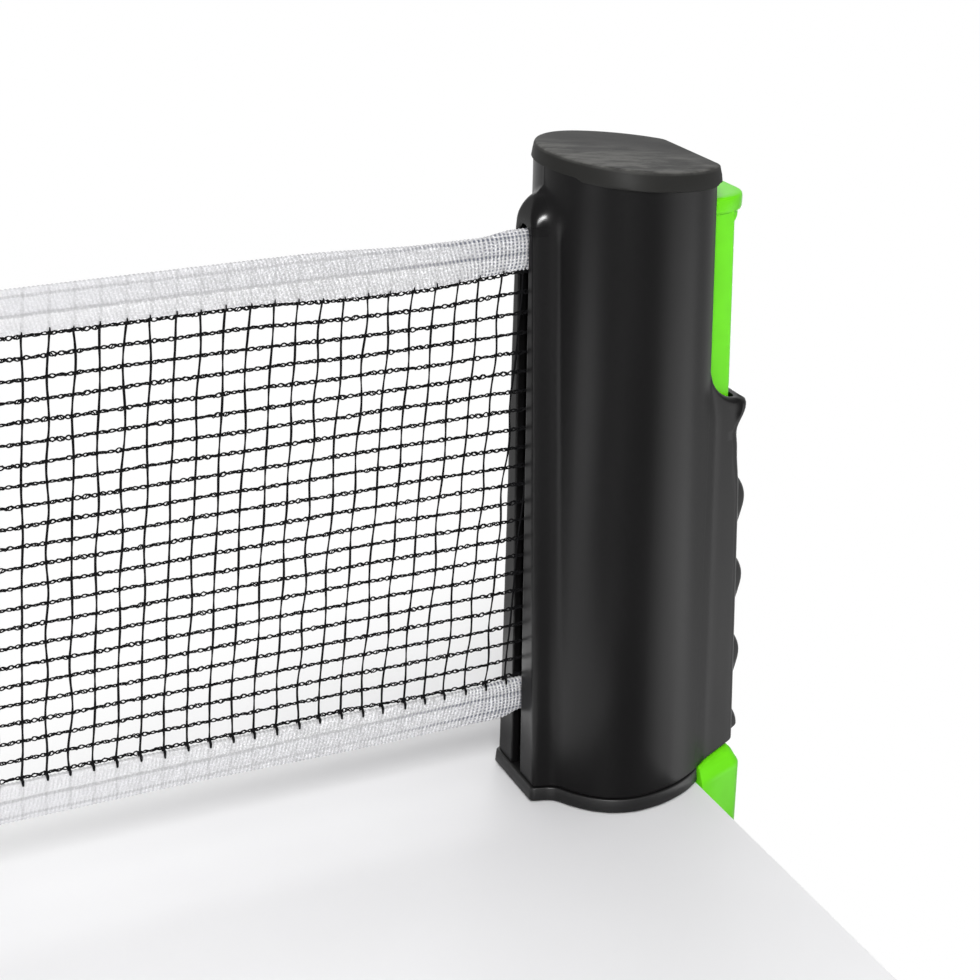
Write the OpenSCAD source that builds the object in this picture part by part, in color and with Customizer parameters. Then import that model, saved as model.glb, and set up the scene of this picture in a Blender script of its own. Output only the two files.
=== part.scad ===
// Retractable table tennis net post with a spring clamp for the table edge.
// Z is up and the table's top face is at z = 0.  X points out over the table's edge and
// Y is across the net.  The net reel turns about the Z axis at x = 0, y = 0.

/* [Housing] */
// Height of the housing's top edge above the table, on the reel axis
post_h = 165; // [158:1:185]
// Slope of the top edge, falling towards the clamp
top_slope_deg = 6; // [0:1:8]
// Half width of the body at the foot
body_half_w = 26; // [25:0.5:32]
// Half width of the body at the top edge
body_half_w_top = 22.8; // [22:0.2:27]
// Reach of the rounded front from the reel axis, at the foot
body_front = 21; // [20:0.5:22]
// Reach of the rounded front at the top edge
body_front_top = 19.3; // [18.8:0.1:20]
// Reach that the rounded back would have, were it not cut flat, at the foot
body_rear = 28.8; // [28:0.2:32]
// Reach that the rounded back would have at the top edge
body_rear_top = 26.5; // [25:0.5:30]
// Thickness of the housing's wall
wall = 2; // [1.6:0.1:2.4]
// Thickness of the nose's side walls
nose_wall = 1.2; // [1:0.1:2]
// Distance from the reel axis to the table's edge and the flat back
edge_x = 20; // [20:0.5:24]

/* [Net slot] */
// Distance from the reel axis to the flat face that holds the slot
nose_x = 24.3; // [23.5:0.1:26]
// Half width of the slot's face at the foot
nose_half_w = 11.1; // [9.5:0.1:12]
// Half width of the slot's face at the top of the slot
nose_half_w_top = 5; // [4.8:0.1:7]
// Width of the net slot
slot_w = 4.2; // [3.6:0.1:5]
// Gap between the net's top edge and the slot's upper end
slot_headroom = 2; // [1.5:0.5:4]

/* [Grip] */
// Height of the pocket's rim above the table
grip_h = 106; // [98:1:112]
// Reach of the grip's back from the reel axis at the table
grip_x = 34.3; // [34:0.1:38]
// Half width across the grip's back
grip_half_w = 15.5; // [14.5:0.5:18]
// Rounding of the grip's upright corners
grip_corner_r = 3; // [2:0.5:4]
// Distance between the finger ridges
ridge_pitch = 22; // [18:1:26]
// Height of a finger ridge on the grip's back
ridge_h = 2.8; // [1:0.1:4]
// Half width of the finger ridges
ridge_half_w = 12; // [9:0.5:12]
// Height of the highest ridge above the table
ridge_z = 77; // [70:1:80]
// Thickness of the grip's wall
grip_wall = 2; // [1.8:0.1:3]

/* [Cap] */
// Thickness of the cap
cap_t = 4; // [3:0.5:6]
// Overhang of the cap's rim over the housing
cap_lip = 0.5; // [0.2:0.1:1]
// Depth of the skirt that locates the cap inside the housing
cap_skirt = 4; // [2:0.5:5]

/* [Foot] */
// Thickness of the foot plate
foot_t = 3; // [2.5:0.5:4]
// Thickness of the rubber sheet under the foot
foot_pad_t = 1.2; // [0.8:0.1:1.6]
// Overhang of the foot beyond the housing
foot_lip = 0.7; // [0.3:0.1:1.2]
// Radius of a foot screw's shank
screw_r = 1.5; // [1.2:0.1:2]
// Radius of a foot screw's head
screw_head_r = 2.6; // [2.3:0.1:3]
// Length of a foot screw under its head
screw_len = 10; // [8:1:12]

/* [Clamp] */
// Gap between the foot and the jaw when the clamp is closed
jaw_gap = 10; // [8:1:16]
// Travel of the clamp from closed to fully open
clamp_travel = 38; // [25:1:40]
// Thickness of the jaw under the table
jaw_t = 6; // [5:0.5:8]
// Thickness of the rubber pad on the jaw
jaw_pad_t = 1.5; // [1:0.1:2.5]
// Reach of the jaw under the table from the table's edge
jaw_reach = 38; // [30:1:42]
// Half width of the jaw
jaw_half_w = 17; // [14:0.5:20]
// Half width of the arm where it passes the table's edge
arm_half_w = 21.5; // [20:0.5:23]
// Half width of the arm at its back
arm_back_half_w = 19.4; // [18:0.2:20]
// Half width of the slider's bar
bar_half_w = 11.5; // [10:0.5:12]
// Thickness of the bar's back and of its side flanges
bar_t = 2.5; // [1.8:0.1:2.8]
// Depth of the bar behind the table's edge
bar_depth = 6.5; // [6:0.1:7]
// Distance from the top of the thumb ledge to the housing's top edge
ledge_drop = 5; // [4.5:0.5:9]
// Thickness of the thumb ledge
ledge_t = 4; // [3:0.5:5]
// Reach of the thumb ledge beyond the bar's back
ledge_reach = 4.4; // [3:0.1:6]
// Rounding of the ledge's corners
ledge_r = 5; // [3:0.5:6]
// Wire radius of a clamp spring
spring_wire_r = 0.4; // [0.3:0.05:0.5]
// Outside radius of a clamp spring
spring_r = 2.5; // [2:0.1:2.6]
// Turns of a clamp spring
spring_turns = 14; // [8:1:16]
// Radius of the pins that hold the springs
spring_pin_r = 1; // [0.8:0.1:1.3]

/* [Reel] */
// Radius of the fixed steel spindle
spindle_r = 2; // [1.5:0.1:2.2]
// Running gap between the spindle and the bushes
spindle_gap = 0.05; // [0.02:0.01:0.09]
// Outside radius of the reel's tube
tube_r = 7; // [6.6:0.1:8]
// Wall thickness of the reel's tube
tube_wall = 1; // [0.8:0.1:1.2]
// Radius of the wound net
roll_r = 12.5; // [11:0.5:14]
// Extra radius where the white tapes are wound
tape_bulge = 1; // [0.4:0.1:1.2]
// Radius of the reel's end flanges
flange_r = 9; // [8:0.5:11]
// Thickness of the reel's end flanges
flange_t = 2; // [1:0.5:3]

/* [Net] */
// Distance from the housing's top edge down to the net's top edge, 152.5 above the table
net_drop = 12.5; // [12:0.5:20]
// Height of the net's bottom edge above the table
net_bottom = 21.5; // [15:0.5:30]
// Length of net drawn out of the slot
net_out = 143.7; // [100:0.1:150]
// Height of the white tape along the top edge
top_tape_h = 10.4; // [8:0.2:16]
// Height of the white tape along the bottom edge
bottom_tape_h = 10; // [6:0.5:14]
// Thickness of the folded tapes
tape_t = 1.6; // [1:0.1:2.2]
// Thickness of the mesh cord
cord_t = 0.8; // [0.5:0.1:1.2]
// Number of open columns in the mesh
mesh_columns = 20; // [6:1:20]
// Number of open rows in the mesh
mesh_rows = 15; // [4:1:15]
// Radius of the bar at the net's free end
batten_r = 2.2; // [1.5:0.1:3]
// Length of net left outside the slot when it is wound in
net_stub = 6; // [4:1:12]

/* [Hidden] */

// Clearances
slide_gap = 0.4;      // between the slider and what guides it
seat_gap = 0.3;       // between pieces that locate each other
end_gap = 0.3;        // above and below the reel
face_gap = 0.3;       // between soft pieces that pass each other
slot_floor_gap = 0.5; // between the arm's top and the housing's bottom edge
cut_over = 1;         // how far a cutting solid runs past a face
sink = 1;             // how far one block of a piece runs into the next
far = 120;            // longer than any piece that it cuts

// Heights
foot_top = foot_pad_t + foot_t;
net_top = post_h - net_drop;
slot_top = net_top + slot_headroom;
nose_shoulder = 7;    // height over which the nose rounds into the body
nose_top = slot_top + nose_shoulder - 1.5;
spindle_top = post_h - 2;
reel_floor = foot_top + 9;
spindle_floor = 1;    // solid left under the spindle's end
socket_wall = 3;      // wall round the spindle's sockets
tube_bottom = reel_floor + flange_t;
tube_top = net_top + 3;

// Clamp
divider_x = edge_x - 4.5;         // inner face of the wall between reel and clamp
channel_x = divider_x + wall;     // front of the channel that the bar runs in
channel_half_w = bar_half_w + slide_gap;
bar_back = edge_x + bar_depth;
bar_front = channel_x + slide_gap + 0.4;
arm_front = edge_x + 0.8;
ledge_top = post_h - tan(top_slope_deg) * edge_x - ledge_drop;
ledge_bottom = ledge_top - ledge_t;
flange_foot = foot_top + clamp_travel + 2;
spring_x = bar_front + spring_r + 0.1;
spring_y = (bar_half_w - bar_t) / 2;
spring_low_z = flange_foot + 4;
spring_high_z = grip_h;
spring_hook = 3;                  // height of the straight hook at a spring's end
jaw_top = -jaw_gap - jaw_pad_t;
arm_bottom = jaw_top - jaw_t;
arm_crease = 0.5;                 // height where the arm's upper band starts to lean in
arm_inset = 6.4;                  // how far the band leans in before it enters the housing
arm_edge = 1;                     // bevel round the arm's lower edge
arm_wall = 4;                     // wall left in front of the arm's coring
arm_cheek = 9;                    // wall left at each side of the arm's coring
core_depth = 11;                  // depth of the arm's coring
jaw_root = 4;                     // how far the jaw runs into the arm
ledge_slope_h = 3;                // height of the slope under the ledge
arm_top = foot_top + 4;
grip_rise = 0.25;                 // slope of the housing's lower edge under the grip
arm_rise = 0.16;                  // slope of the arm's crease, and of what lies above it
grip_lean = 0.03;                 // how much the grip's back leans in per unit of height
ridge_edge = 1.5;                 // width of the slope at a ridge's end
ridge_floor = 0.05;               // height of the ridges' face in the valleys
rim_bend_r = 11;                  // bend from the flat back into the pocket's rim
neck_drop = 14;                   // from the rim down to the narrowest place of the grip
neck_depth = 1;                   // how far the grip draws in there
flare_drop = 2;                   // from the rim down to the widest place of its flare
flare_depth = 2.2;                // how far the rim flares out

// Net
nose_face = -nose_x;
net_end = nose_face - net_out;
net_inner = nose_face + wall;
net_travel = net_out - net_stub;
mesh_low = net_bottom + bottom_tape_h;
mesh_high = net_top - top_tape_h;
lead_angle = acos(roll_r / -net_inner);  // where the net leaves the roll
lead_len = sqrt(net_inner * net_inner - roll_r * roll_r)
    - sqrt(pow(roll_r + tape_bulge + cord_t, 2) - roll_r * roll_r);

// Screws of the foot
screw_angles = [49.5, 124];
screw_head_t = 1.5;
head_gap = 0.2;                   // round a screw's head
cross_l = 3.2;
cross_w = 0.7;
cross_d = 0.9;
boss_r = screw_r + 1.8;
screw_tip = foot_pad_t + screw_head_t + screw_len;
tip_gap = 0.5;                    // past a screw's tip

// Angles at which an outline is drawn, from the slot's face to the clamp
side_angles = concat([for (a = [0:2.5:50]) a], [for (a = [57:8.2:180]) a]);
ring_angles = concat(side_angles, [for (i = [len(side_angles) - 2:-1:1]) 360 - side_angles[i]]);

function mix(a, b, t) = a + (b - a) * t;
function up(z) = (z - foot_top) / (post_h - foot_top);
// A maximum and a minimum of two lengths whose crossing is rounded over k
function blend_max(a, b, k) = max(a, b) + pow(max(k - abs(a - b), 0), 2) / (4 * k);
function blend_min(a, b, k) = min(a, b) - pow(max(k - abs(a - b), 0), 2) / (4 * k);

// Reach of an oval with its own front and back, a being 0 towards the slot
function oval_r(a, front, rear, half_w) =
    1 / sqrt(pow(cos(a) / (cos(a) > 0 ? front : rear), 2) + pow(sin(a) / half_w, 2));
function body_r(a, z, inset) = oval_r(a, mix(body_front, body_front_top, up(z)) - inset,
    mix(body_rear, body_rear_top, up(z)) - inset,
    mix(body_half_w, body_half_w_top, up(z)) - inset);

// The nose holds the slot and rounds off into the body above it
function shoulder(z) = min(1, max(0, (z - nose_top + nose_shoulder) / nose_shoulder));
function nose_reach(z) = nose_x - 5.2 * (1 - sqrt(1 - pow(shoulder(z), 2)));
function nose_w(z) = mix(nose_half_w, nose_half_w_top, z / slot_top)
    * sqrt(1 - 0.7 * pow(shoulder(z + 4), 2));
function nose_r(a, z, inset) = cos(a) <= 0.2 ? 0 :
    blend_min((nose_reach(z) - inset) / cos(a),
        (nose_w(z) - inset * nose_wall / wall) / max(0.001, abs(sin(a))), 2 + 4 * shoulder(z));
function shell_r(a, z, inset) = blend_max(body_r(a, z, inset), nose_r(a, z, inset), 2.5);

// The foot's screws stand against the inside of the housing's wall
screw_spots = [for (a = screw_angles, side = [-1, 1])
    let (r = body_r(a, foot_top, wall + boss_r - seat_gap)) [-r * cos(a), side * r * sin(a)]];

// A closed solid through rings of equal count, each end closed round its middle
function middle(ring) = [for (axis = [0:2]) [for (p = ring) p[axis]] * [for (p = ring) 1] / len(ring)];
module loft(rings) {
    n = len(rings[0]);
    m = len(rings);
    polyhedron(
        points = concat([for (ring = rings) each ring], [middle(rings[0]), middle(rings[m - 1])]),
        faces = [for (i = [0:n - 1]) let (k = (i + 1) % n, top = (m - 1) * n) each concat(
            [[m * n, i, k], [m * n + 1, top + k, top + i]],
            [for (low = [0:n:top - n]) each [[low + i, low + n + i, low + n + k],
                [low + i, low + n + k, low + k]]])],
        convexity = 6);
}

function shell_ring(z, inset, shape_z) =
    [for (a = ring_angles) let (r = shell_r(a, shape_z, inset)) [-r * cos(a), -r * sin(a), z]];
shell_levels = concat([for (t = [0:0.25:1]) mix(foot_top, nose_top - nose_shoulder - 4, t)],
    [for (t = [0.2:0.2:1]) mix(nose_top - nose_shoulder - 4, nose_top, t)], [post_h + 6]);

// All that lies over the sloping plane of the housing's top edge, moved along its normal
module over_top(offset_n = 0) {
    translate([0, 0, post_h])
        rotate([0, top_slope_deg, 0])
            translate([-far, -far, offset_n]) cube(2 * far);
}

// All that lies beyond a plane across X
module beyond(x) {
    translate([x, -far, -far]) cube([far, 2 * far, 3 * far]);
}

module below(z) {
    translate([-far, -far, z - far]) cube([2 * far, 2 * far, far]);
}

// Reach of the grip's back at a height, with a neck under its flared rim
function grip_back(z) = grip_x - grip_lean * z
    - neck_depth * exp(-pow(2 * (z - grip_h + neck_drop) / neck_drop, 2))
    + flare_depth * exp(-pow((z - grip_h + flare_drop) / (2 * flare_drop), 2));
function ridge(z) = z > ridge_z + ridge_pitch / 2 ? 0 :
    ridge_h * (0.5 + 0.5 * cos(360 * (z - ridge_z) / ridge_pitch));
function grip_side(z) = mix(body_half_w, body_half_w_top, up(z))
    * sqrt(1 - pow((edge_x - sink) / mix(body_rear, body_rear_top, up(z)), 2)) - 0.1;
function mirrored(half, z) = concat([for (p = half) [p[0], -p[1], z]],
    [for (i = [len(half) - 1:-1:0]) [half[i][0], half[i][1], z]]);
function grip_ring(z, back, inset, bump) = let (
        r = grip_corner_r,
        cx = back - inset - r,
        w = grip_half_w * (1 - z / 1500) - inset - r)
    mirrored(concat([[edge_x - sink, grip_side(z) - inset]],
        [for (a = [75:-25:0]) [cx + r * cos(a), w + r * sin(a)]],
        [[back - inset, ridge_half_w], [back - inset + bump, ridge_half_w - ridge_edge]]), z);

module grip_form() {
    loft([for (z = [1:ridge_pitch / 8:grip_h + rim_bend_r + sink])
        grip_ring(z, grip_back(z), 0, ridge(z) + ridge_floor)]);
}

module grip_hollow() {
    loft([for (z = [0, grip_h + rim_bend_r + sink])
        grip_ring(z, grip_back(grip_h - neck_drop), grip_wall, ridge_floor)]);
}

// What stays open above the pocket's rim and below the housing's lower edge
module grip_cuts() {
    rim_x = edge_x + rim_bend_r;
    translate([0, far, 0]) rotate([90, 0, 0]) linear_extrude(2 * far) union() {
        translate([rim_x, grip_h + rim_bend_r]) circle(rim_bend_r, $fn = 48);
        translate([rim_x, grip_h]) square(far);
        translate([edge_x, grip_h + rim_bend_r]) square(far);
    }
    translate([edge_x, -far, foot_top]) rotate([0, -atan(grip_rise), 0])
        translate([-far, 0, -far]) cube([2 * far, 2 * far, far]);
}

module screw_holes(r, z0, z1) {
    for (s = screw_spots) translate([s[0], s[1], z0]) cylinder(r = r, h = z1 - z0, $fn = 32);
}

module housing_shell() {
    color([0.055, 0.055, 0.058])
    difference() {
        union() {
            difference() {
                loft([for (z = shell_levels) shell_ring(z, 0, z)]);
                beyond(edge_x);
            }
            difference() {
                grip_form();
                grip_cuts();
            }
        }
        // Reel chamber
        difference() {
            loft([for (z = shell_levels) shell_ring(z == foot_top ? z - cut_over : z, wall, z)]);
            beyond(divider_x);
            for (s = screw_spots) translate([s[0], s[1], 0])
                cylinder(r = boss_r, h = screw_tip + tip_gap + wall, $fn = 32);
        }
        screw_holes(screw_r, 0, screw_tip + tip_gap);
        // Channel for the slider's bar, open at both ends
        translate([channel_x, -channel_half_w, 0])
            cube([bar_back + slide_gap - channel_x, 2 * channel_half_w, post_h + far]);
        // Hollow of the grip
        intersection() {
            grip_hollow();
            beyond(edge_x);
        }
        // Net slot through the face of the nose
        translate([nose_face - cut_over, -slot_w / 2, 0])
            cube([wall + 2 * cut_over, slot_w, slot_top - slot_w / 2]);
        translate([nose_face - cut_over, 0, slot_top - slot_w / 2])
            rotate([0, 90, 0]) cylinder(r = slot_w / 2, h = wall + 2 * cut_over, $fn = 24);
        below(foot_top);
        over_top();
    }
}

cap_angles = [for (a = [0:5:359]) a];
function cap_ring(inset, h) = [for (a = cap_angles) let (
        oval = oval_r(a, body_front_top + cap_lip - inset, body_rear_top + cap_lip - inset,
            body_half_w_top + 2 * cap_lip - inset),
        flat = cos(a) < -0.2 ? (edge_x + cap_lip - inset * 0.3) / -cos(a) : far,
        r = blend_min(oval, flat, 1.5))
    [-r * cos(a), -r * sin(a), h]];

// Skirt that locates the cap inside the reel chamber
module cap_locator() {
    skirt_t = 1.4;
    z0 = post_h - cap_skirt - tan(top_slope_deg) * divider_x;
    difference() {
        loft([for (z = [z0, post_h + 6]) shell_ring(z, wall + seat_gap, post_h)]);
        loft([for (z = [z0 - cut_over, post_h + 7]) shell_ring(z, wall + seat_gap + skirt_t, post_h)]);
        beyond(divider_x - seat_gap);
        over_top(cap_t / 8);
    }
}

module top_cap() {
    color([0.06, 0.06, 0.06]) {
        difference() {
            union() {
                translate([0, 0, post_h]) rotate([0, top_slope_deg, 0])
                    loft([cap_ring(0, 0), cap_ring(0.3, cap_t * 0.35), cap_ring(1.2, cap_t * 0.65),
                        cap_ring(2.2, cap_t * 0.88), cap_ring(3.6, cap_t)]);
                translate([0, 0, tube_top + flange_t + end_gap])
                    cylinder(r = spindle_r + socket_wall,
                        h = post_h - tube_top - flange_t - end_gap + sink, $fn = 48);
                cap_locator();
            }
            translate([0, 0, tube_top]) cylinder(r = spindle_r, h = spindle_top - tube_top, $fn = 32);
        }
    }
}

function foot_ring(z, inset) = [for (a = ring_angles) let (
        r = shell_r(a, foot_top, inset),
        flat = cos(a) < -0.2 ? edge_x / -cos(a) : far)
    [-min(r, flat) * cos(a), -min(r, flat) * sin(a), z]];

foot_edge = 0.4;

module base_foot() {
    color([0.05, 0.05, 0.052])
    difference() {
        union() {
            loft([foot_ring(foot_pad_t, -foot_lip), foot_ring(foot_top - foot_edge, -foot_lip),
                foot_ring(foot_top, -foot_lip + foot_edge)]);
            translate([0, 0, foot_top - sink])
                cylinder(r = spindle_r + socket_wall, h = reel_floor - end_gap - foot_top + sink, $fn = 48);
        }
        translate([0, 0, foot_pad_t + spindle_floor]) cylinder(r = spindle_r, h = reel_floor, $fn = 32);
        screw_holes(screw_r, 0, foot_top + cut_over);
        screw_holes(screw_head_r + head_gap, 0, foot_pad_t + screw_head_t);
    }
}

module foot_pad() {
    color([0.08, 0.08, 0.08])
    difference() {
        loft([foot_ring(0, 0.3), foot_ring(foot_pad_t, 0.3)]);
        screw_holes(screw_head_r + head_gap, -cut_over, foot_pad_t + cut_over);
    }
}

module foot_screws() {
    color([0.6, 0.6, 0.62])
    for (s = screw_spots) translate([s[0], s[1], foot_pad_t]) difference() {
        union() {
            cylinder(r = screw_head_r, h = screw_head_t, $fn = 32);
            cylinder(r = screw_r, h = screw_head_t + screw_len, $fn = 32);
        }
        for (turn = [0, 90]) rotate([0, 0, turn])
            translate([-cross_l / 2, -cross_w / 2, -cut_over]) cube([cross_l, cross_w, cut_over + cross_d]);
    }
}

module reel_spindle() {
    color([0.7, 0.7, 0.72])
    translate([0, 0, foot_pad_t + spindle_floor])
        cylinder(r = spindle_r, h = spindle_top - foot_pad_t - spindle_floor, $fn = 32);
}

module ring(r_out, r_in, z0, z1) {
    translate([0, 0, z0]) difference() {
        cylinder(r = r_out, h = z1 - z0, $fn = 64);
        translate([0, 0, -1]) cylinder(r = r_in, h = z1 - z0 + 2, $fn = 64);
    }
}

bush_t = 1;
bush_r = spindle_r + spindle_gap + bush_t;
plug_depth = 6;
coil_gap = 0.4;       // between the return spring and the tube
core_gap = 1;         // between the return spring and the spindle

module reel_tube() {
    color([0.55, 0.56, 0.58]) ring(tube_r, tube_r - tube_wall, tube_bottom, tube_top);
}

module reel_lower_plug() {
    color([0.1, 0.1, 0.1]) union() {
        ring(tube_r - tube_wall, bush_r, tube_bottom, tube_bottom + plug_depth);
        ring(flange_r, bush_r, reel_floor, tube_bottom);
    }
}

module reel_upper_plug() {
    color([0.1, 0.1, 0.1]) union() {
        ring(tube_r - tube_wall, bush_r, tube_top - plug_depth, tube_top);
        ring(flange_r, bush_r, tube_top, tube_top + flange_t);
    }
}

module lower_bush() {
    color([0.75, 0.6, 0.3]) ring(bush_r, spindle_r + spindle_gap, reel_floor, tube_bottom + plug_depth);
}

module upper_bush() {
    color([0.75, 0.6, 0.3])
    ring(bush_r, spindle_r + spindle_gap, tube_top - plug_depth, tube_top + flange_t);
}

collar_h = 5;
spring_foot = tube_bottom + plug_depth + collar_h + 2 * face_gap;

// Collar fixed on the spindle, which holds the still end of the return spring
module spring_collar() {
    color([0.2, 0.2, 0.2])
    ring(tube_r - tube_wall - coil_gap, spindle_r, spring_foot - face_gap - collar_h,
        spring_foot - face_gap);
}

// The close-wound coil that turns the reel back, drawn as a sleeve
module return_spring() {
    color([0.45, 0.45, 0.47])
    ring(tube_r - tube_wall - coil_gap, spindle_r + core_gap, spring_foot, tube_top - plug_depth);
}

module wound_mesh() {
    color([0.02, 0.02, 0.02]) ring(roll_r, tube_r, mesh_low, mesh_high);
}

module wound_top_tape() {
    color([0.85, 0.85, 0.87]) ring(roll_r + tape_bulge, tube_r, mesh_high, net_top);
}

module wound_bottom_tape() {
    color([0.85, 0.85, 0.87]) ring(roll_r + tape_bulge, tube_r, net_bottom, mesh_low);
}

// The short run of net inside the housing, from the slot to the roll
module net_lead_in() {
    color([0.3, 0.3, 0.3])
    translate([net_inner, 0, net_bottom])
        rotate([0, 0, lead_angle - 90])
            translate([tape_t, -cord_t / 2, 0])
                cube([lead_len - tape_t, cord_t, net_top - net_bottom]);
}

module net_mesh() {
    column = (net_inner - net_end) / mesh_columns;
    row = (mesh_high - mesh_low) / mesh_rows;
    color([0.02, 0.02, 0.02])
    translate([net_end, cord_t / 2, mesh_low]) rotate([90, 0, 0])
        linear_extrude(cord_t) difference() {
            square([net_inner - net_end, mesh_high - mesh_low]);
            for (i = [0:mesh_columns - 1], j = [0:mesh_rows - 1])
                translate([i * column + cord_t / 2, j * row + cord_t / 2])
                    square([column - cord_t, row - cord_t]);
        }
}

// A tape folded over the net's edge: flat sides and a round outer edge
module tape(z0, z1, outer) {
    round_z = outer > 0 ? z1 - tape_t / 2 : z0 + tape_t / 2;
    translate([net_end, 0, 0]) rotate([90, 0, 90]) linear_extrude(net_inner - net_end) union() {
        translate([-tape_t / 2, outer > 0 ? z0 : round_z]) square([tape_t, z1 - z0 - tape_t / 2]);
        translate([0, round_z]) circle(tape_t / 2, $fn = 24);
    }
}

module net_top_tape() {
    color([0.85, 0.85, 0.87]) tape(mesh_high, net_top, 1);
}

module net_bottom_tape() {
    color([0.85, 0.85, 0.87]) tape(net_bottom, mesh_low, -1);
}

batten_x = net_end - batten_r;
batten_over = 3;

module end_batten() {
    color([0.08, 0.08, 0.08])
    translate([batten_x, 0, net_bottom - batten_over])
        cylinder(r = batten_r, h = net_top - net_bottom + 2 * batten_over, $fn = 32);
}

// Flat hooks at both ends of the bar, which catch on the far post
module batten_hooks() {
    hook_t = 3;
    hook_wall = 1;
    hook_reach = 7;
    eye_x = 5;
    eye_r = 1.4;
    mouth_w = 2.2;
    color([0.08, 0.08, 0.08])
    for (z = [net_bottom - batten_over - hook_t, net_top + batten_over]) translate([batten_x, 0, z])
        difference() {
            union() {
                cylinder(r = batten_r + hook_wall, h = hook_t, $fn = 32);
                translate([-hook_reach, -batten_r - hook_wall, 0])
                    cube([hook_reach, 2 * (batten_r + hook_wall), hook_t]);
            }
            translate([-eye_x, 0, -cut_over]) {
                cylinder(r = eye_r, h = hook_t + 2 * cut_over, $fn = 24);
                cube([mouth_w, batten_r + hook_wall + cut_over, hook_t + 2 * cut_over]);
            }
        }
}

// Plan of the clamp's arm, which passes the table's edge below the grip
function arm_ring(z, inset, rise = 0) = let (
        r = grip_corner_r,
        back = grip_x - inset,
        half = concat([[arm_front, arm_half_w - inset]],
            [for (a = [75:-15:0]) [back - r + r * cos(a), arm_back_half_w - inset - r + r * sin(a)]]))
    [for (p = mirrored(half, z)) p + [0, 0, rise * (p[0] - edge_x)]];

module clamp_slider() {
    color([0.2, 0.83, 0.05])
    difference() {
        union() {
            // Arm past the table's edge, with the band that leans in under the housing
            loft([arm_ring(arm_bottom, arm_edge), arm_ring(arm_bottom + arm_edge, 0),
                arm_ring(arm_crease, 0, arm_rise),
                arm_ring(foot_top - slot_floor_gap, arm_inset, arm_rise),
                arm_ring(arm_top, arm_inset + seat_gap)]);
            // Bar: back and two flanges
            translate([bar_back - bar_t, -bar_half_w, arm_top - sink])
                cube([bar_t, 2 * bar_half_w, ledge_bottom - arm_top + 2 * sink]);
            for (side = [-1, 1]) translate([0, side * (bar_half_w - bar_t / 2) - bar_t / 2, 0]) {
                translate([bar_front, 0, flange_foot])
                    cube([bar_back - bar_front, bar_t, ledge_bottom - flange_foot]);
                translate([arm_front, 0, arm_top - sink])
                    cube([bar_back - arm_front, bar_t, flange_foot - arm_top + 2 * sink]);
            }
            // Thumb ledge with round corners, and the slope under it
            translate([edge_x + slide_gap, -bar_half_w, ledge_bottom])
                cube([bar_back + ledge_reach - ledge_r - edge_x - slide_gap, 2 * bar_half_w, ledge_t]);
            translate([bar_back, -bar_half_w + ledge_r, ledge_bottom])
                cube([ledge_reach, 2 * (bar_half_w - ledge_r), ledge_t]);
            for (side = [-1, 1])
                translate([bar_back + ledge_reach - ledge_r, side * (bar_half_w - ledge_r), ledge_bottom])
                    cylinder(r = ledge_r, h = ledge_t, $fn = 48);
            translate([0, bar_half_w - ledge_r, 0]) rotate([90, 0, 0])
                linear_extrude(2 * (bar_half_w - ledge_r))
                    polygon([[bar_back - sink, ledge_bottom - ledge_slope_h],
                        [bar_back, ledge_bottom - ledge_slope_h],
                        [bar_back + ledge_reach - sink, ledge_bottom], [bar_back - sink, ledge_bottom]]);
            // Jaw
            translate([edge_x - jaw_reach + jaw_half_w, 0, arm_bottom]) {
                cylinder(r = jaw_half_w, h = jaw_t, $fn = 64);
                translate([0, -jaw_half_w, 0])
                    cube([jaw_reach - jaw_half_w + jaw_root, 2 * jaw_half_w, jaw_t]);
            }
        }
        // Coring of the arm from below
        translate([arm_front + arm_wall, arm_cheek - arm_half_w, arm_bottom - cut_over])
            cube([grip_x - arm_front - 2 * arm_wall, 2 * (arm_half_w - arm_cheek), core_depth + cut_over]);
    }
}

pad_margin = 2;

module jaw_pad() {
    color([0.08, 0.08, 0.08])
    translate([edge_x - jaw_reach + jaw_half_w, 0, jaw_top]) {
        cylinder(r = jaw_half_w - pad_margin, h = jaw_pad_t, $fn = 64);
        translate([0, pad_margin - jaw_half_w, 0])
            cube([jaw_reach - jaw_half_w - pad_margin / 2, 2 * (jaw_half_w - pad_margin), jaw_pad_t]);
    }
}

module spring_pins(x0, x1, z) {
    for (side = [-1, 1]) translate([x0, side * spring_y, z]) rotate([0, 90, 0])
        cylinder(r = spring_pin_r, h = x1 - x0, $fn = 32);
}

module shell_spring_pins() {
    color([0.7, 0.7, 0.72]) spring_pins(channel_x, spring_x + spring_r - 0.5, spring_high_z);
}

module slider_spring_pins() {
    color([0.7, 0.7, 0.72]) spring_pins(spring_x - spring_r + 0.5, bar_back - bar_t, spring_low_z);
}

// A round wire swept along points, six-sided, with flat ends
function unit(v) = v / norm(v);
module wire(points, r) {
    n = len(points);
    sides = 6;
    rings = [for (i = [0:n - 1]) let (
            d = unit(points[min(n - 1, i + 1)] - points[max(0, i - 1)]),
            s = unit(cross(d, abs(d[2]) > 0.9 ? [1, 0, 0] : [0, 0, 1])),
            t = cross(d, s))
        [for (k = [0:sides - 1]) points[i] + r * (cos(60 * k) * s + sin(60 * k) * t)]];
    loft(rings);
}

coil_r = spring_r - spring_wire_r;
coil_low = spring_low_z + spring_pin_r + spring_hook;
coil_high = spring_high_z - spring_pin_r - spring_hook;
coil_steps = 10;

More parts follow.
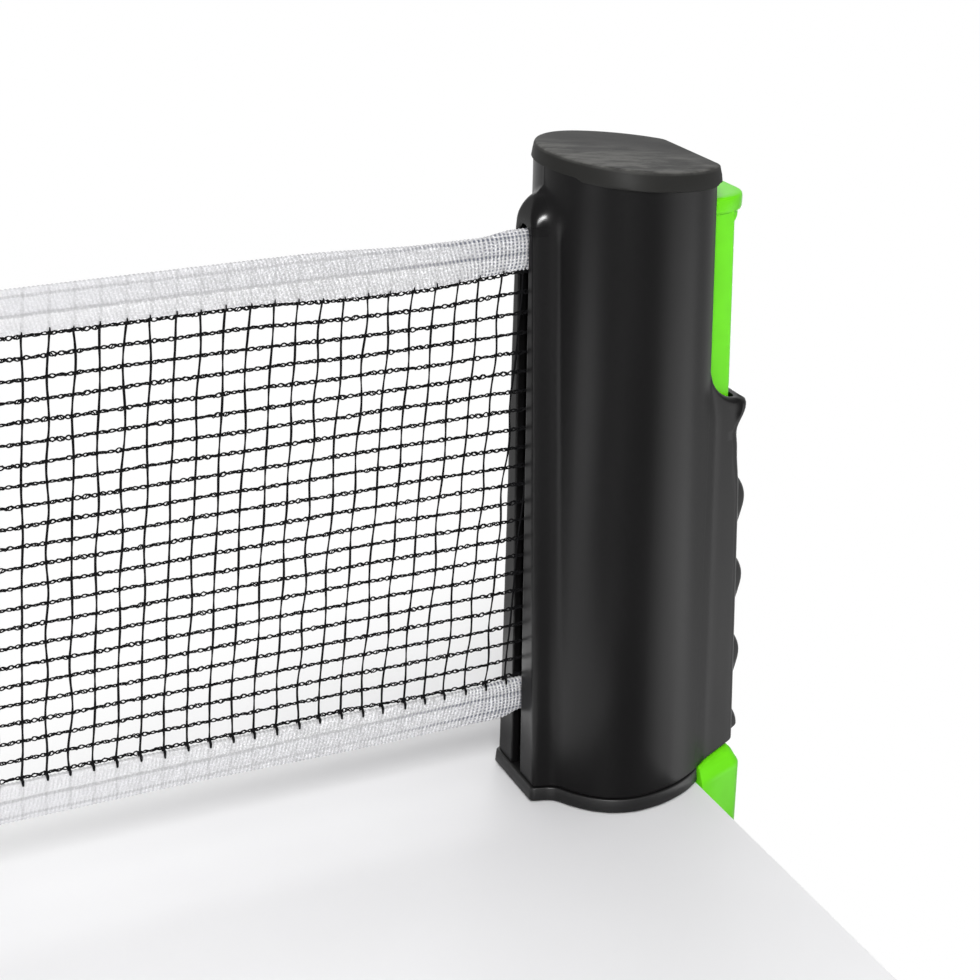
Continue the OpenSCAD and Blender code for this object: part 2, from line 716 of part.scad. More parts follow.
// The end of a spring: a bar across the coil, a stem and an eye round the pin
module spring_end(coil_z, pin_z) {
    eye_r = spring_pin_r + spring_wire_r + 0.05;
    low = min(coil_z, pin_z + eye_r);
    high = max(coil_z, pin_z - eye_r);
    translate([0, 0, coil_z]) rotate([0, 90, 0]) cylinder(r = spring_wire_r, h = coil_r, $fn = 16);
    translate([0, 0, coil_z > pin_z ? low : coil_z])
        cylinder(r = spring_wire_r, h = coil_z > pin_z ? coil_z - low : high - coil_z, $fn = 16);
    translate([0, 0, pin_z]) rotate([0, 90, 0])
        rotate_extrude($fn = 32) translate([eye_r, 0]) circle(spring_wire_r, $fn = 16);
}

module clamp_spring(side) {
    pitch = (coil_high - coil_low) / spring_turns;
    color([0.6, 0.6, 0.62]) translate([spring_x, side * spring_y, 0]) union() {
        wire([for (i = [0:spring_turns * coil_steps])
            [coil_r * cos(360 * i / coil_steps), coil_r * sin(360 * i / coil_steps),
                coil_low + pitch * i / coil_steps]], spring_wire_r);
        spring_end(coil_low, spring_low_z);
        spring_end(coil_high, spring_high_z);
    }
}

module clamp_spring_left() {
    clamp_spring(1);
}

module clamp_spring_right() {
    clamp_spring(-1);
}

housing_shell();
top_cap();
base_foot();
foot_pad();
foot_screws();
reel_spindle();
spring_collar();
shell_spring_pins();
reel_tube();
reel_lower_plug();
reel_upper_plug();
lower_bush();
upper_bush();
return_spring();
wound_mesh();
wound_top_tape();
wound_bottom_tape();
net_lead_in();
net_mesh();
net_top_tape();
net_bottom_tape();
end_batten();
batten_hooks();
clamp_slider();
slider_spring_pins();
jaw_pad();
clamp_spring_left();
clamp_spring_right();
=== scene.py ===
"""Looks of a retractable table tennis net clamp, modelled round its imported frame."""

import random
from math import acos, atan2, cos, exp, hypot, pi, radians, sin, sqrt, tan, tau

import bmesh
import bpy
from mathutils import Matrix, Vector


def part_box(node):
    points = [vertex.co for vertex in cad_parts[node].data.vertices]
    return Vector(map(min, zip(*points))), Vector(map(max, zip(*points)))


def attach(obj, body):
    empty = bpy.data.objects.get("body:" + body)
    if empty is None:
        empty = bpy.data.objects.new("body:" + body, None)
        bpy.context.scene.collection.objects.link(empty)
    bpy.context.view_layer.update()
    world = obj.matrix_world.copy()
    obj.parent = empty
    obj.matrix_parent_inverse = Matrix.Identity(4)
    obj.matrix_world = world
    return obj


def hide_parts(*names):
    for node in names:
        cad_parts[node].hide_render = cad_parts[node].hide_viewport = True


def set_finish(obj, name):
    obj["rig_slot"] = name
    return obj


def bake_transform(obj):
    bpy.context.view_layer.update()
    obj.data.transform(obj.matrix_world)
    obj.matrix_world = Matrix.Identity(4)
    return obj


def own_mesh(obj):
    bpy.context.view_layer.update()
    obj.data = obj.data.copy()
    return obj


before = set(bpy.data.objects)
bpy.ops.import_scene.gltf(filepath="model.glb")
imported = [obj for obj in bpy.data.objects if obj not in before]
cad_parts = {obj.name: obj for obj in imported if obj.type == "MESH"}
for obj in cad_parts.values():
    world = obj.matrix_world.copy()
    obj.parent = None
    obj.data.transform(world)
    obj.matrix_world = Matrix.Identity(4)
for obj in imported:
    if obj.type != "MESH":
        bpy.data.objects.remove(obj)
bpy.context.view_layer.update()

bl_info = {
    "name": "Table tennis net clamp",
    "version": (1, 0, 0),
    "blender": (4, 5, 0),
    "location": "3D View > Sidebar > Net Clamp",
    "description": "Builds a clamp-on net post with its net, reel and spring-loaded slider",
    "category": "Object",
}

MM = 0.001
# The spindle's radius, and the outer radius of the sockets that hold its ends
SPINDLE_R, SOCKET_R = 2 * MM, 5 * MM
# Degrees that the grip's rounded corner turns through
GRIP_TURN = 75
# Shares of the way from the slot to the back at which an outline of the housing has points
SKIN_STEPS = [i / 140 for i in (*range(37), *range(39, 140, 3), 140)]


# ---- Numbers and curves ----

def mix(a, b, t):
    return a + (b - a) * t


def clamp(t):
    return min(1, max(0, t))


def ease(t):
    """0 to 1 with level ends."""
    t = clamp(t)
    return t * t * (3 - 2 * t)


def blend_max(a, b, k):
    """The larger of two lengths, with their crossing rounded over k."""
    return max(a, b) + (max(k - abs(a - b), 0) ** 2 / (4 * k) if k > 0 else 0)


def blend_min(a, b, k):
    return -blend_max(-a, -b, k)


def spread(start, stop, steps):
    """Evenly spaced values from start to stop, both included."""
    return [mix(start, stop, i / steps) for i in range(steps + 1)]


def bend(start, corner, stop, steps):
    """Points of a rounded corner, without its two ends."""
    return [tuple((1 - t) ** 2 * a + 2 * t * (1 - t) * c + t * t * b for a, c, b in zip(start, corner, stop))
            for t in spread(0, 1, steps)[1:-1]]


def arc(cx, cy, r, start, stop, steps):
    """Points of an arc between two angles in degrees."""
    return [(cx + r * cos(radians(a)), cy + r * sin(radians(a))) for a in spread(start, stop, steps)]


def mirrored(half):
    """A full outline from its +Y half, which runs from the front's middle to the back's."""
    return [(x, -y) for x, y in half] + list(reversed(half[1:-1]))


def level(outline, z):
    """A plan outline at a height."""
    return [(x, y, z) for x, y in outline]


def circle(x, y, r, z, count):
    """A level ring of points."""
    return [(x + r * cos(tau * i / count), y + r * sin(tau * i / count), z) for i in range(count)]


def ring_round(point, side, over, r, count):
    """A ring of points round another, across two directions."""
    return [point + side * (r * cos(tau * i / count)) + over * (r * sin(tau * i / count)) for i in range(count)]


# ---- Mesh building ----

def discard(name):
    """Makes room for a piece that is built again."""
    old = bpy.data.objects.get(name)
    if old is not None:
        bpy.data.objects.remove(old, do_unlink=True)


def show(name, data):
    """A new object in the scene."""
    discard(name)
    made = bpy.data.objects.new(name, data)
    bpy.context.collection.objects.link(made)
    return made


def smooth(mesh, crease):
    """Smooth shading up to an angle in degrees."""
    mesh.shade_smooth()
    mesh.set_sharp_from_angle(angle=radians(crease))


class Form:
    """Points and faces of a piece while it is being built."""

    def __init__(self):
        self.points = []
        self.faces = []

    def row(self, points):
        first = len(self.points)
        self.points += [tuple(p) for p in points]
        return list(range(first, len(self.points)))

    def strip(self, low, high, wrap=False):
        """Faces between two rows of points. wrap joins the ends of each row."""
        count = len(low)
        for i in range(count if wrap else count - 1):
            k = (i + 1) % count
            self.faces.append((low[i], low[k], high[k], high[i]))

    def grid(self, rows, wrap=False, around=False):
        """Faces between many rows. around joins the last row to the first."""
        rows = [self.row(points) for points in rows]
        for low, high in list(zip(rows, rows[1:])) + ([(rows[-1], rows[0])] if around else []):
            self.strip(low, high, wrap)
        return rows

    def loft(self, rings):
        """A closed solid through rings of equal count."""
        rows = self.grid(rings, wrap=True)
        self.faces += [tuple(reversed(rows[0])), tuple(rows[-1])]

    def sleeve(self, centre, r_out, r_in, low, high, count=32):
        """An upright tube with square ends."""
        self.grid([circle(*centre, r, z, count) for r, z in
                   ((r_in, low), (r_out, low), (r_out, high), (r_in, high))], wrap=True, around=True)

    def thread(self, path, radii, sides):
        """A thin round strand along a path that never runs along Y. It has one radius or one for each point."""
        if len(path) < 3:
            return
        path = [Vector(p) for p in path]
        rings = []
        for i, point in enumerate(path):
            ahead = path[min(i + 1, len(path) - 1)] - path[max(i - 1, 0)]
            side = ahead.cross(Vector((0, 1, 0))).normalized()
            over = side.cross(ahead).normalized()
            rings.append(ring_round(point, side, over, radii[i] if isinstance(radii, list) else radii, sides))
        self.loft(rings)

    def wire(self, path, radius, sides):
        """A round wire along any path, its rings carried on without twist."""
        path = [Vector(p) for p in path]
        side = (path[1] - path[0]).normalized().orthogonal().normalized()
        rings = []
        for i, point in enumerate(path):
            step = (path[min(i + 1, len(path) - 1)] - path[max(i - 1, 0)]).normalized()
            side = (side - step * side.dot(step)).normalized()
            rings.append(ring_round(point, side, step.cross(side), radius, sides))
        self.loft(rings)

    def mesh(self, name, slot, crease=35):
        """The finished mesh, welded, facing outwards and smooth up to the crease angle."""
        mesh = bpy.data.meshes.new(name)
        mesh.from_pydata(self.points, [], self.faces)
        work = bmesh.new()
        work.from_mesh(mesh)
        bmesh.ops.remove_doubles(work, verts=work.verts, dist=MM / 1000)
        bmesh.ops.recalc_face_normals(work, faces=work.faces)
        work.to_mesh(mesh)
        work.free()
        mesh.materials.append(finish(slot))
        smooth(mesh, crease)
        return mesh

    def piece(self, name, slot, body, replaced=(), crease=35):
        """A visible object that rides on a body and stands for the frame's nodes."""
        made = show(name, self.mesh(name, slot, crease))
        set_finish(made, slot)
        if body is not None:
            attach(made, body)
        if replaced:
            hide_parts(*replaced)
        return made


def cut(made, form, name):
    """Takes the solids of a form out of a piece."""
    tool = show(name, form.mesh(name, made["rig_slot"]))
    step = made.modifiers.new(name, "BOOLEAN")
    step.operation, step.solver, step.object = "DIFFERENCE", "EXACT", tool
    bpy.context.view_layer.update()
    seen = made.evaluated_get(bpy.context.evaluated_depsgraph_get())
    mesh = bpy.data.meshes.new_from_object(seen)
    made.modifiers.clear()
    made.data = mesh
    bpy.data.meshes.remove(tool.data, do_unlink=True)


def dress(node, slot):
    """Gives a node of the frame its finish."""
    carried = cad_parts[node]
    carried.data.materials.clear()
    carried.data.materials.append(finish(slot))
    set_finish(carried, slot)


# ---- Finishes ----

class Value:
    """A socket that takes part in arithmetic: each operator adds its Math node."""

    def __init__(self, maker, socket):
        self.maker = maker
        self.socket = socket

    def math(self, operation, *others):
        return self.maker.math(operation, self, *others)

    def __add__(self, other):
        return self.math("ADD", other)

    __radd__ = __add__

    def __sub__(self, other):
        return self.math("SUBTRACT", other)

    def __rsub__(self, other):
        return self.maker.math("SUBTRACT", other, self)

    def __mul__(self, other):
        return self.math("MULTIPLY", other)

    __rmul__ = __mul__

    def __truediv__(self, other):
        return self.math("DIVIDE", other)

    def __abs__(self):
        return self.math("ABSOLUTE")

    def wave(self):
        """0 to 1 and back, once for each whole number."""
        return 0.5 - 0.5 * (self * tau).math("COSINE")

    def ramp(self, low, high, bottom=0.0, top=1.0):
        """A smooth step from bottom to top while this goes from low to high."""
        return self.maker.node("ShaderNodeMapRange", {"interpolation_type": "SMOOTHSTEP"},
                               {0: self, 1: low, 2: high, 3: bottom, 4: top})


class Maker:
    """Puts the node tree of a material or of the world together."""

    def __init__(self, owner):
        owner.use_nodes = True
        self.tree = owner.node_tree
        self.tree.nodes.clear()

    def node(self, kind, settings=None, sockets=None, out=0):
        """Any node: its type, then its settings, then what its sockets are given."""
        node = self.tree.nodes.new(kind)
        for key, setting in (settings or {}).items():
            setattr(node, key, setting)
        for key, given in (sockets or {}).items():
            if isinstance(given, Value):
                self.tree.links.new(given.socket, node.inputs[key])
            else:
                node.inputs[key].default_value = given
        return Value(self, node.outputs[out]) if node.outputs else None

    def math(self, operation, *terms):
        return self.node("ShaderNodeMath", {"operation": operation}, dict(enumerate(terms)))

    def place(self, stretch=None):
        """Where a point is on the object, in metres."""
        spot = self.node("ShaderNodeTexCoord", out="Object")
        return self.node("ShaderNodeMapping", None, {"Vector": spot, "Scale": stretch}) if stretch else spot

    def axes(self):
        """X, Y and Z of a point, in millimetres."""
        spot = self.node("ShaderNodeVectorMath", {"operation": "SCALE"}, {0: self.place(), "Scale": 1 / MM})
        split = self.node("ShaderNodeSeparateXYZ", None, {0: spot})
        return [Value(self, socket) for socket in split.socket.node.outputs]

    def noise(self, grain, detail=2.0, roughness=0.5, stretch=None):
        """Soft noise whose grain is so many millimetres across."""
        return self.node("ShaderNodeTexNoise", None, {"Vector": self.place(stretch), "Scale": 1 / (grain * MM),
                                                      "Detail": detail, "Roughness": roughness})

    def colour(self, factor, a, b, blend="MIX"):
        return self.node("ShaderNodeMix", {"data_type": "RGBA", "blend_type": blend},
                         {0: factor, 6: a, 7: b}, out=2)

    def bump(self, height, depth, strength=1.0, over=None):
        """A bump so many millimetres deep, on top of another where there is one."""
        sockets = {"Height": height, "Distance": depth * MM, "Strength": strength}
        return self.node("ShaderNodeBump", None, sockets | ({"Normal": over} if over else {}))

    def surface(self, **sockets):
        """A Principled surface. Socket names have _ for a space."""
        return self.node("ShaderNodeBsdfPrincipled", None,
                         {key.replace("_", " "): given for key, given in sockets.items()})

    def looked_at(self):
        """1 for rays of the camera, of gloss and through glass."""
        first, *rest = [self.node("ShaderNodeLightPath", out=f"Is {kind} Ray")
                        for kind in ("Camera", "Glossy", "Transmission")]
        for ray in rest:
            first = first.math("MAXIMUM", ray)
        return first


def tone(colour, share=1.0):
    """A colour property as a socket value, made lighter or darker."""
    return tuple(clamp(c * share) for c in colour[:3]) + (1.0,)


def moulded_black(m, c, key, rough, grain, level=0.09, wear_and_painted_highlight=None):
    """Satin black plastic: fine spark-eroded grain, soft sink marks, and the given extra marks: a worn sheen on
    the housing's nose, pale streaks and a painted rim highlight on the cap.
    """
    colour = getattr(c, key)
    fine = m.noise(0.35, 3.0, 0.6)
    broad = m.noise(14, 2.0, 0.5, (1, 1, 0.35))
    base = m.colour(broad.ramp(0.3, 0.7), tone(colour, 0.85), tone(colour, 1.15))
    roughness = rough + (fine - 0.5) * 0.08 + (broad - 0.5) * 0.1
    if wear_and_painted_highlight:
        base, roughness = wear_and_painted_highlight(m, colour, base, roughness)
    return m.surface(Base_Color=base, Roughness=roughness, Normal=m.bump(fine, grain, 0.6, m.bump(broad, 0.12)),
                     Specular_IOR_Level=level)


def buffed(m, colour, base, roughness):
    """The nose is rubbed shinier over the slot's end, where hands reach for the net."""
    x, _, z = m.axes()
    return base, roughness - x.ramp(-19.5, -21.5) * z.ramp(150.0, 153.0) * 0.15


def streaks_and_rim_highlight(m, colour, base, roughness):
    """Pale streaks on the cap's top that fade towards the clamp, over a top that darkens the same way, a paler
    wall under the top's edge, and a painted highlight along the rim's edge.
    """
    x, y, z = m.axes()
    rise = z + x * 0.105
    near = (x * 0.5 + y).ramp(14.0, -12.0, 0.05, 1.0)
    base = m.colour(near, tone(colour, 0.3), tone(colour, 1.2))
    base = m.colour(rise.ramp(168.5, 168.2) * 0.8, base, tone(colour, 2.2))
    streaks = m.noise(9, 5.0, 0.68, (0.5, 1.6, 1)).ramp(0.36, 0.62) * near
    # Painted highlight: a pale, patchy band along the rim's rounded edge, standing in for a lamp's reflection
    # there
    rim_highlight = m.noise(5, 4.0, 0.65).ramp(0.3, 0.7, 0.4, 1.0) * rise.ramp(167.9, 168.6) * rise.ramp(169.1, 168.7)
    streaks_and_highlight = (streaks * rise.ramp(168.5, 168.9) + rim_highlight * 0.45).math("MINIMUM", 1.0)
    return m.colour(streaks_and_highlight, base, tone(colour, 12.0)), roughness + streaks_and_highlight * 0.12


def pad_rubber(m, c):
    """Matt rubber sheet with a fine pebble and dust in its dips."""
    pebble = m.noise(0.5)
    dust = m.noise(6, 4.0, 0.6)
    return m.surface(Base_Color=m.colour(dust.ramp(0.45, 0.8), tone(c.rubber), tone(c.rubber, 1.8)),
                     Roughness=0.8 + (pebble - 0.5) * 0.15, Normal=m.bump(pebble, 0.03))


def slider_green(m, c):
    """Bright green satin plastic, a little paler where it is handled."""
    fine = m.noise(0.4, 3.0, 0.6)
    broad = m.noise(11)
    return m.surface(Base_Color=m.colour(broad.ramp(0.35, 0.7), tone(c.green, 0.96), tone(c.green, 1.04)),
                     Roughness=0.34 + (fine - 0.5) * 0.06 + (broad - 0.5) * 0.08,
                     Normal=m.bump(fine, 0.004, 0.5, m.bump(broad, 0.1)), Specular_IOR_Level=0.1)


def net_cord(m, c):
    """Black twisted polyester with its lay and stray grey fibres."""
    x, y, z = m.axes()
    lay = ((x + z) * 4.5 + y * 6.0).wave()
    fibres = m.noise(0.12, 3.0, 0.7)
    return m.surface(Base_Color=m.colour(lay * fibres.ramp(0.35, 0.7), tone(c.cord, 0.4), tone(c.cord, 1.5)),
                     Roughness=0.62 + fibres * 0.2, Normal=m.bump(lay, 0.05, 0.7), Specular_IOR_Level=0.05)


def white_tape(m, c):
    """Warp-knitted white tape: upright ribs, dark gaps between the stitches and two dotted seams."""
    x, _, z = m.axes()
    # Both tapes have their seams at the same distances from the net's middle line
    high = z - 87.0
    across = abs(high)
    crown = (across - 60.3) / 5.2
    near_slot = x.ramp(-44.0, -29.0)
    sharp = x.ramp(-150.0, -75.0, 0.3, 1.0)
    wobble = (m.noise(2.2, 3.0, 0.6) - 0.5) * 0.9
    place = x + crown * 1.6 * (1.0 - near_slot) - (1.0 - crown * crown) * near_slot * 0.7 + wobble * 0.35
    rib = (place / (c.rib_pitch / MM)).wave()
    stitch = ((z + wobble) / 0.85).wave()
    # Painted highlights: small pale sparkles in the colour, standing in for glints off the fibres
    painted_sparkle = m.noise(0.42, 2.0, 0.6).ramp(0.45, 0.68)
    fibres = m.noise(0.16, 3.0, 0.7)
    cloud = m.noise(1.6, 4.0, 0.7).ramp(0.35, 0.65)
    valley = (1.0 - rib).ramp(0.3, 0.8)
    gap = valley * stitch.ramp(0.2, 0.7) * x.ramp(-48.0, -29.0) * cloud.ramp(0.0, 0.5, 0.45, 1.0)
    off = m.noise(7) - 0.5
    shade = 0.0
    for seam, wide, deep in ((59.5, 0.62, 1.0), (63.8, 0.5, 0.75)):
        line = abs(across - seam + off * 0.7).ramp(wide, wide * 0.3)
        shade = line * deep * (0.9 + cloud * 0.5) + shade
        gap = gap + line * valley * x.ramp(-75.0, -35.0, 0.0, 0.75)
    gap = gap.math("MINIMUM", 1.0)
    # The net's uprights run on inside the fold and show through it
    upright = ((x + 168.0 - high * 0.085) / 5.7 + 0.6 + off * 0.12).wave().ramp(0.0, 0.09, 1.0, 0.0)
    shade = shade + upright * (0.25 + cloud * 0.55)
    # Painted shade and highlight: the ribs' valleys are darker and their crests lighter, and the painted
    # sparkles lighten the colour
    light = (painted_sparkle * 0.7 + rib * 0.35 + cloud * 0.25 - 0.6) * sharp + 0.46 - shade * 0.3
    body = m.colour(light, tone(c.tape, 0.6), tone(c.tape, 1.22))
    hem = across.ramp(59.6, 59.0)
    body = m.colour(hem * 0.8, body, m.colour(1.0, body, (1.06, 1.06, 1.05, 1.0), "MULTIPLY"))
    height = rib * 0.5 + stitch * 0.25 - gap * 0.6 + fibres * 0.4 - shade * 0.4
    return m.surface(Base_Color=m.colour(gap * 0.9, body, tone(c.tape_gap)), Roughness=0.84 - gap * 0.1,
                     Normal=m.bump(height, 0.16, 0.9), Specular_IOR_Level=0.15,
                     Sheen_Weight=0.1, Sheen_Roughness=0.5)


def drawn_metal(m, c, key, rough, stretch=None):
    """Bright metal with fine lines along its making direction."""
    colour = getattr(c, key)
    lines = m.noise(0.25, 4.0, 0.6, stretch)
    cloud = m.noise(4, 3.0, 0.6)
    return m.surface(Base_Color=m.colour(cloud.ramp(0.35, 0.7), tone(colour, 0.85), tone(colour, 1.05)),
                     Metallic=1.0, Roughness=rough + (lines - 0.5) * 0.2 + (cloud - 0.5) * 0.1,
                     Normal=m.bump(lines, 0.004))


def table_white(m, c):
    """Smooth pale board that fades into the white backdrop past the net."""
    broad = m.noise(60, 3.0, 0.5)
    fine = m.noise(0.8)
    board = m.surface(Base_Color=m.colour(broad.ramp(0.3, 0.7), tone(c.table, 0.99), tone(c.table, 1.01)),
                      Roughness=0.55 + (fine - 0.5) * 0.05, Normal=m.bump(fine, 0.004))
    x, y, _ = m.axes()
    far = (y * 0.9 - x * 0.25).ramp(15.0, 120.0)
    white = m.node("ShaderNodeEmission", None, {"Color": (1, 1, 1, 1), "Strength": 1.0})
    return m.node("ShaderNodeMixShader", None, {0: m.looked_at() * far, 1: board, 2: white})


# For each slot what makes its finish, and what that takes after the colours
FINISHES = {
    "housing_black": (moulded_black, "black", 0.34, 0.005, 0.09, buffed),
    "cap_black": (moulded_black, "cap", 0.5, 0.012, 0.05, streaks_and_rim_highlight),
    "foot_black": (moulded_black, "black", 0.42, 0.008, 0.24),
    "batten_black": (moulded_black, "black", 0.45, 0.01),
    "inner_plastic": (moulded_black, "inner", 0.5, 0.012),
    "pad_rubber": (pad_rubber,),
    "slider_green": (slider_green,),
    "net_cord": (net_cord,),
    "white_tape": (white_tape,),
    "screw_steel": (drawn_metal, "zinc", 0.34),
    "spindle_steel": (drawn_metal, "steel", 0.22, (0.15, 0.15, 1)),
    "pin_steel": (drawn_metal, "steel", 0.28, (1, 0.2, 0.2)),
    "spring_steel": (drawn_metal, "spring", 0.3),
    "tube_aluminium": (drawn_metal, "aluminium", 0.36, (1, 1, 0.05)),
    "bush_brass": (drawn_metal, "brass", 0.3, (0.2, 0.2, 1)),
    "table_white": (table_white,),
}


def finish(slot):
    """The material of a slot, made on first use."""
    material = bpy.data.materials.get("fine_" + slot)
    if material is None:
        material = bpy.data.materials.new("fine_" + slot)
        m = Maker(material)
        make, *given = FINISHES[slot]
        shader = make(m, bpy.context.scene.net_clamp_colours, *given)
        m.node("ShaderNodeOutputMaterial", None, {"Surface": shader})
    return material


# ---- Settings ----

def length(description, millimetres):
    return bpy.props.FloatProperty(description=description, default=millimetres * MM, unit="LENGTH",
                                   subtype="DISTANCE", precision=4)


def ratio(description, default):
    return bpy.props.FloatProperty(description=description, default=default)


def power(description, watts):
    return bpy.props.FloatProperty(description=description, default=watts, unit="POWER")


def colour(description, *rgb):
    return bpy.props.FloatVectorProperty(description=description, default=rgb, size=3, subtype="COLOR",
                                         min=0.0, max=1.0)


class NetClampColours(bpy.types.PropertyGroup):
    """Colours of the finishes."""

    black: colour("Housing and foot", 0.004, 0.0038, 0.004)
    cap: colour("Cap on the housing", 0.0095, 0.0094, 0.0089)
    inner: colour("Plugs and collar of the reel", 0.09, 0.09, 0.095)
    rubber: colour("Pads on the foot and the jaw", 0.02, 0.02, 0.021)
    green: colour("Clamp slider", 0.15, 0.72, 0.009)
    cord: colour("Knotted cord of the net", 0.006, 0.006, 0.007)
    tape: colour("Knitted edge tapes", 0.72, 0.718, 0.738)
    tape_gap: colour("Shade between the stitches of the tapes", 0.1, 0.11, 0.15)
    rib_pitch: length("Distance between the ribs of the tapes", 1.0)
    zinc: colour("Plated screws", 0.62, 0.62, 0.64)
    steel: colour("Spindle and pins", 0.66, 0.66, 0.68)
    spring: colour("Spring wire", 0.5, 0.5, 0.52)
    aluminium: colour("Reel tube", 0.72, 0.73, 0.75)
    brass: colour("Bushes of the reel", 0.75, 0.55, 0.25)
    table: colour("Board that the post stands on", 0.87, 0.868, 0.88)


class NetClampHousing(bpy.types.PropertyGroup):
    """Sizes of the housing, its nose and its grip."""

    height: length("Height of the top edge above the table, on the reel axis", 165)
    slope: bpy.props.FloatProperty(description="Fall of the top edge towards the clamp", default=radians(6),
                                   unit="ROTATION", subtype="ANGLE")
    foot_top: length("Height of the foot's top face", 4.2)
    half_w: length("Half width at the foot", 26)
    half_w_top: length("Half width at the top edge", 22.8)
    front: length("Reach of the rounded front at the foot", 21)
    front_top: length("Reach of the rounded front at the top edge", 19.3)
    rear: length("Reach of the uncut back at the foot", 28.8)
    rear_top: length("Reach of the uncut back at the top edge", 25.2)
    wall: length("Thickness of the wall", 2)
    nose_wall: length("Thickness of the nose's sides", 1.2)
    edge_x: length("Distance from the reel axis to the table's edge", 20)
    nose_x: length("Reach of the face that holds the slot", 24.3)
    nose_w: length("Half width of the slot's face at the foot", 11.1)
    nose_w_top: length("Half width of the slot's face at its top", 5)
    slot_w: length("Width of the net slot", 5)
    slot_top: length("Height of the slot's upper end", 153.6)
    flare: ratio("Slant of the nose's sides in plan", 0.28)
    lip: length("Rounding of the slot's edges", 0.45)
    divider_x: length("Inner face of the wall between reel and clamp", 15.5)
    channel_x: length("Front of the channel that the slider's bar runs in", 17.5)
    channel_w: length("Half width of that channel", 11.9)
    grip_x: length("Reach of the grip's back at the table", 34.3)
    grip_w: length("Half width across the grip's back", 15.5)
    grip_r: length("Rounding of the grip's upright corners", 3)
    grip_wall: length("Thickness of the grip's wall", 2)
    rim: length("Height of the pocket's rim", 106)
    rim_bend: length("Bend from the flat back into the rim", 11)
    ridge_h: length("Height of a finger ridge", 3.5)
    ridge_pitch: length("Distance between the finger ridges", 22.7)
    ridge_z: length("Height of the highest ridge", 77)
    ridge_w: length("Half width of the finger ridges", 12)


class NetClampSlider(bpy.types.PropertyGroup):
    """Sizes of the clamp slider."""

    arm_front: length("Front face of the arm", 20.8)
    arm_back: length("Back face of the arm", 34.3)
    arm_w: length("Half width at the arm's front", 21.5)
    arm_w_back: length("Half width at the arm's back", 19.4)
    corner: length("Rounding of the arm's corners", 3)
    bottom: length("Lowest face of the arm and the jaw", -17.5)
    jaw_t: length("Thickness of the jaw", 6)
    jaw_w: length("Half width of the jaw", 17)
    jaw_x: length("Centre of the jaw's round end", -1)
    bar_front: length("Front edge of the bar's flanges", 18.3)
    bar_back: length("Back face of the bar under the ledge", 26.9)
    bar_lean: length("How much further back the bar's lower half stands", 1.25)
    bar_w: length("Half width of the bar", 11.5)
    bar_t: length("Thickness of the bar's back and flanges", 2.5)
    flange_foot: length("Height where the flanges get deep", 44.2)
    ledge_low: length("Underside of the thumb ledge", 153.9)
    ledge_high: length("Top of the thumb ledge", 157.9)
    ledge_back: length("Reach of the thumb ledge", 31.7)
    ledge_step: length("How far the ledge stands out at the bar's sides", 0.45)
    ledge_r: length("Rounding of the ledge's corners", 8)


class NetClampNet(bpy.types.PropertyGroup):
    """Sizes of the net, its tapes and the reel's roll."""

    tape_t: length("Thickness over both layers of a tape", 1.6)
    cloth_t: length("Thickness of one layer of tape", 0.5)
    thread: length("Thickness of a thread in the chained rows", 0.42)
    thin: length("Thickness of each thread of an upright pair, midway between rows", 0.36)
    eye: length("Height of the open eyes in a chained row", 0.8)
    pitch: length("Distance between the upright threads", 5.7)
    rows: bpy.props.IntProperty(description="Chained rows between the tapes", default=23)
    lean: ratio("Lean of the upright threads", 0.085)
    roll_r: length("Radius of the wound net", 12.5)
    bulge: length("Extra radius of the wound tapes", 1.0)
    tube_r: length("Radius of the reel's tube", 7)


class NetClampStage(bpy.types.PropertyGroup):
    """Camera, lamps and board."""

    lens: bpy.props.FloatProperty(description="Focal length of the camera", default=72.51, unit="CAMERA")
    board_t: length("Thickness of the table's board", 8)
    board_reach: length("How far the board runs on from the post", 900)
    sky: ratio("Strength of the light from all round", 0.475)
    key: power("Lamp behind the clamp", 1.9)
    fill: power("Lamp before the post", 0.4)
    front: power("Lamp over the camera's place", 7)
    edge: power("Strip lamp low behind the grip", 1.1)
    knuckle: power("Small lamp before the net slot", 15)
    side: power("Card beside the clamp", 3.2)
    net: power("Card on the board under the net", 0.33)
    far: power("Card on the board past the net's end", 1.1)


# ---- Housing ----

def up(h, z):
    """0 at the foot and 1 at the top edge."""
    return (z - h.foot_top) / (h.height - h.foot_top)


def body_reach(h, a, z, inset):
    """Reach of the housing's oval body at an angle from the slot."""
    depth = mix(h.front, h.front_top, up(h, z)) if cos(a) > 0 else mix(h.rear, h.rear_top, up(h, z))
    width = mix(h.half_w, h.half_w_top, up(h, z))
    return 1 / hypot(cos(a) / (depth - inset), sin(a) / (width - inset))


def nose_reach(h, z):
    """Reach of the slot's face, which swings back to the body over the nose's shoulder."""
    over = clamp((z - h.slot_top - 0.4 * MM) / (8.3 * MM))
    return h.nose_x - 8 * MM * (1 - sqrt(1 - over * over))


def nose_side(h, z, widen, low, tall):
    """Half width of the nose, at the slot's face or where it meets the body, under its rounded top."""
    over = clamp((z - low * MM) / (tall * MM))
    return (mix(h.nose_w, h.nose_w_top, z / h.slot_top) + widen) * sqrt(1 - over * over)


